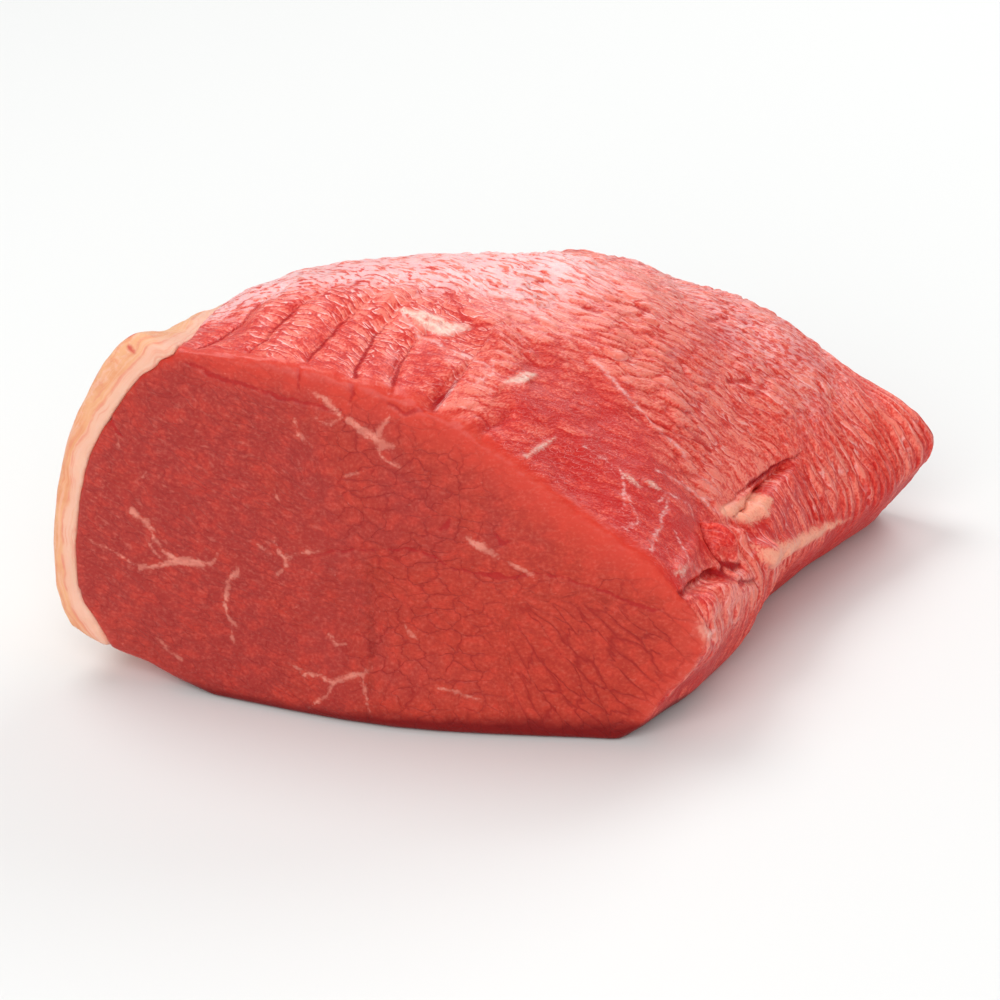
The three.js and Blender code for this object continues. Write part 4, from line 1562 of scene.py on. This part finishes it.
@dataclass(frozen=True)
class FatFinish(MeatFinish):
    """Firm beef fat: cream outside, whiter and pinker beside the lean."""

    roughness: float = 0.5
    unevenness: float = 0.2
    specular: float = 0.45
    subsurface: float = 0.3
    subsurface_scale: float = 0.004
    subsurface_radius: tuple[float, float, float] = (1.0, 0.6, 0.4)
    bump: float = 0.45
    bump_height: float = 0.4
    cream: Colour = srgb(232, 174, 130)
    deep: Colour = srgb(224, 152, 108)
    pale: Colour = srgb(234, 184, 164)
    pink: Colour = srgb(222, 120, 102)
    blood: Colour = srgb(206, 70, 60)

    def material(self, effects: Effects) -> bpy.types.Material:
        """Makes the material of the whole cap.

        Args:
            effects: The shared groups.

        Returns:
            The material.
        """
        material, wiring = new_material("Beef fat")
        place = wiring.named_vector("place")
        depth = (wiring.noise(place, 0.1, 3.0) - 0.5) * 0.55 + wiring.named("layer")
        outside = depth.ramp(0.55, 0.85)
        sheets = wiring.add("CombineXYZ", {0: depth * 9.0}).outputs[0]
        sheets = wiring.vector_math("ADD", {0: wiring.stretched(place, (0.05, 0.05, 0.07)), 1: sheets})
        streak = wiring.noise(sheets, 1.0, 3.0)
        line = depth.ramp(0.35, 0.4) * depth.ramp(0.47, 0.41) * wiring.noise(place, 0.25).ramp(0.3, 0.6)
        stain = wiring.group(effects.speckle, {"Vector": place, "Size": 7.0, "Share": 0.1})["Mask"]
        speck = wiring.group(effects.speckle, {"Vector": place, "Size": 1.5, "Share": 0.03})["Mask"]
        bend = wiring.noise(wiring.stretched(place, (1.0, 0.45, 1.0)), 0.09, 4.0) - 0.5
        thread = abs(bend).ramp(0.014, 0.0) * wiring.noise(place, 0.06).ramp(0.42, 0.6) * outside
        granular = wiring.noise(place, 0.9, 4.0).ramp(0.48, 0.66) * outside
        colour = wiring.layered(
            self.cream,
            (wiring.noise(place, 0.14, 3.0).ramp(0.3, 0.7), self.deep),
            (depth.ramp(0.5, 0.3) * 0.7, self.pale),
            (streak.ramp(0.5, 0.62) * 0.4, self.pale),
            (streak.ramp(0.46, 0.36) * 0.35, self.pink),
            (line * 0.55, self.pink),
            (stain * 0.5, self.pink),
            (speck * 0.5, self.pale),
            (thread * 0.55, self.pink),
            (granular * 0.45, self.pale),
            (wiring.named("stain").ramp(0.6, -0.6), self.blood),
        )
        fibres = wiring.noise(wiring.stretched(place, (1.0, 0.2, 1.0)), 0.8, 3.0)
        lobules = wiring.number("TexVoronoi", {"Vector": place, "Scale": 0.35}, "Distance", feature="SMOOTH_F1")
        self.shade(wiring, effects, place, colour, lobules * outside * -1.6 + fibres, coat=0.0)
        return material


@dataclass
class FatCap:
    """The cap of fat on the joint's left side."""

    finish: FatFinish = field(default_factory=FatFinish)
    voxel: float = 0.7
    softening: int = 8
    triangles: int = 90_000
    thickness: float = 8.0
    # How far the side towards the lean moves to close the solids' gap and reach into the lean.
    gap: float = 0.3
    reach_in: float = 0.3
    lumps: float = 0.5
    strips: float = 0.35
    # Small stains of blood near its top, as (across, along, up, half width).
    stains: tuple[Strand, ...] = (
        Strand(((-71.5, -57.0, 93.0, 0.9), (-69.5, -56.0, 93.5, 0.5))),
        Strand(((-69.8, -57.8, 90.5, 0.7), (-68.6, -57.8, 89.5, 0.3))),
    )

    def ways_in(self, skin: Skin) -> np.ndarray:
        """Finds the nearest place on the lean's packed surface.

        Args:
            skin: The cap's mesh.

        Returns:
            The way there from each vertex, in millimetres.
        """
        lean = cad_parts["lean"].data
        tree = BVHTree.FromPolygons([v.co for v in lean.vertices], [p.vertices for p in lean.polygons])
        places = (skin.points + SHIFT) * MM
        return (np.array([tree.find_nearest(Vector(place))[0] for place in places]) - places) / MM

    def heights(self, skin: Skin) -> np.ndarray:
        """Works out how far the surface stands out.

        Args:
            skin: The cap's mesh.

        Returns:
            A height in millimetres for each vertex.
        """
        ways = self.ways_in(skin)
        depth = np.linalg.norm(ways, axis=1)
        facing = np.sum(ways * skin.normals(), axis=1) / np.maximum(depth, 0.01)
        inner = rise(depth, 1.4, 0.5) * rise(facing, 0.3, 0.7)
        outer = self.lumps * billow(skin.points, 14, Seed.CAP_LUMPS)
        outer += self.strips * billow(skin.points * np.array([1.0, 1.0, 0.35]), 4.5, Seed.CAP_STRIPS, 3)
        return (1 - inner) * outer + inner * (self.gap + self.reach_in)

    def build(self, effects: Effects) -> bpy.types.Object:
        """Makes the cap.

        Args:
            effects: The node groups that the materials share.

        Returns:
            Its piece.
        """
        piece = copy_of("fat_cap", "beef_fat_cap")
        skin = remesh(piece, self.voxel)
        skin.soften(self.softening)
        skin.push_out(self.heights(skin))
        skin = thin_out(piece, self.triangles, 0.5 * rise(skin.points[:, 1], 60, -30))
        skin.store("layer", np.linalg.norm(self.ways_in(skin), axis=1) / self.thickness)
        skin.store("place", skin.points)
        skin.store("stain", nearest_strand(self.stains, skin.points, np.ones(len(skin.points), dtype=bool)))
        shade_smooth(piece.data)
        piece.data.materials.append(self.finish.material(effects))
        return piece


# ---- The studio -----------------------------------------------------------------------------------------------


@dataclass(frozen=True)
class Softbox:
    """A large soft light: where it hangs in metres, how wide it is and how strong."""

    name: str
    place: tuple[float, float, float]
    width: float
    power: float

    def hang(self, aim: Vector) -> None:
        """Adds the light.

        Args:
            aim: The point that it is turned to, in metres.
        """
        light = bpy.data.lights.new(self.name, "AREA")
        light.shape = "DISK"
        light.size = self.width
        light.energy = self.power
        lamp = linked(self.name, light)
        lamp.location = self.place
        lamp.rotation_mode = "QUATERNION"
        lamp.rotation_quaternion = (aim - lamp.location).to_track_quat("-Z", "Y")


@dataclass
class Studio:
    """The camera, the floor and the lights. Angles are in degrees, and the camera's distance in metres."""

    azimuth: float = 25.0
    elevation: float = 25.0
    distance: float = 0.8
    aim: tuple[float, float, float] = (0.0, 0.0, 40.0)
    lens: float = 115.2
    sensor: float = 36.0
    floor_width: float = 9.0
    floor_colour: Colour = srgb(231, 232, 231)
    floor_roughness: float = 0.7
    sky_colour: Colour = (1.0, 1.0, 1.0, 1.0)
    sky: float = 0.46
    softboxes: tuple[Softbox, ...] = (
        Softbox("Left light", (-0.6, 0.15, 1.3), 0.8, 7.5),
        Softbox("Back light", (0.1, 1.2, 0.9), 0.9, 7.0),
        Softbox("Front light", (0.3, -1.25, 0.85), 1.3, 14.8),
    )

    def middle(self) -> Vector:
        """Returns the point that the camera looks at."""
        return Vector((np.array(self.aim) + SHIFT) * MM)

    def place_camera(self) -> None:
        """Adds the camera, to the front right of the joint and above it."""
        turn, tilt = math.radians(self.azimuth), math.radians(self.elevation)
        back = Vector((math.sin(turn) * math.cos(tilt), -math.cos(turn) * math.cos(tilt), math.sin(tilt)))
        data = bpy.data.cameras.new("Camera")
        data.lens = self.lens
        data.sensor_width = self.sensor
        camera = linked("Camera", data)
        camera.location = self.middle() + back * self.distance
        camera.rotation_mode = "QUATERNION"
        camera.rotation_quaternion = (-back).to_track_quat("-Z", "Y")
        bpy.context.scene.camera = camera

    def lay_floor(self) -> None:
        """Adds the pale floor."""
        half = self.floor_width / 2
        mesh = bpy.data.meshes.new("Floor")
        corners = [(-half, -half, 0), (half, -half, 0), (half, half, 0), (-half, half, 0)]
        mesh.from_pydata(corners, [], [(0, 1, 2, 3)])
        material, wiring = new_material("Pale floor")
        inputs = {"Base Color": self.floor_colour, "Roughness": self.floor_roughness}
        shader = wiring.add("BsdfPrincipled", inputs)
        wiring.add("OutputMaterial", {"Surface": shader.outputs["BSDF"]})
        mesh.materials.append(material)
        floor = linked("Floor", mesh)

    def light(self) -> None:
        """Adds the even sky and the softboxes."""
        world = bpy.data.worlds.new("Studio")
        world.use_nodes = True
        background = world.node_tree.nodes["Background"]
        background.inputs["Color"].default_value = self.sky_colour
        background.inputs["Strength"].default_value = self.sky
        bpy.context.scene.world = world
        for softbox in self.softboxes:
            softbox.hang(self.middle())

    def build(self) -> None:
        """Makes the whole studio."""
        self.place_camera()
        self.lay_floor()
        self.light()
        bpy.context.scene.view_settings.view_transform = "Standard"


def main() -> None:
    """Builds the joint and the studio, and reports each piece."""
    logging.basicConfig(level=logging.INFO, format="%(name)s: %(message)s")
    Studio().build()
    effects = Effects()
    for node, slot, assembly in (("lean", "lean", Lean()), ("fat_cap", "fat", FatCap())):
        piece = assembly.build(effects)
        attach(piece, "root")
        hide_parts(node)
        log.info("%s: %d triangles", piece.name, triangle_count(piece.data))


if __name__ == "__main__":
    main()
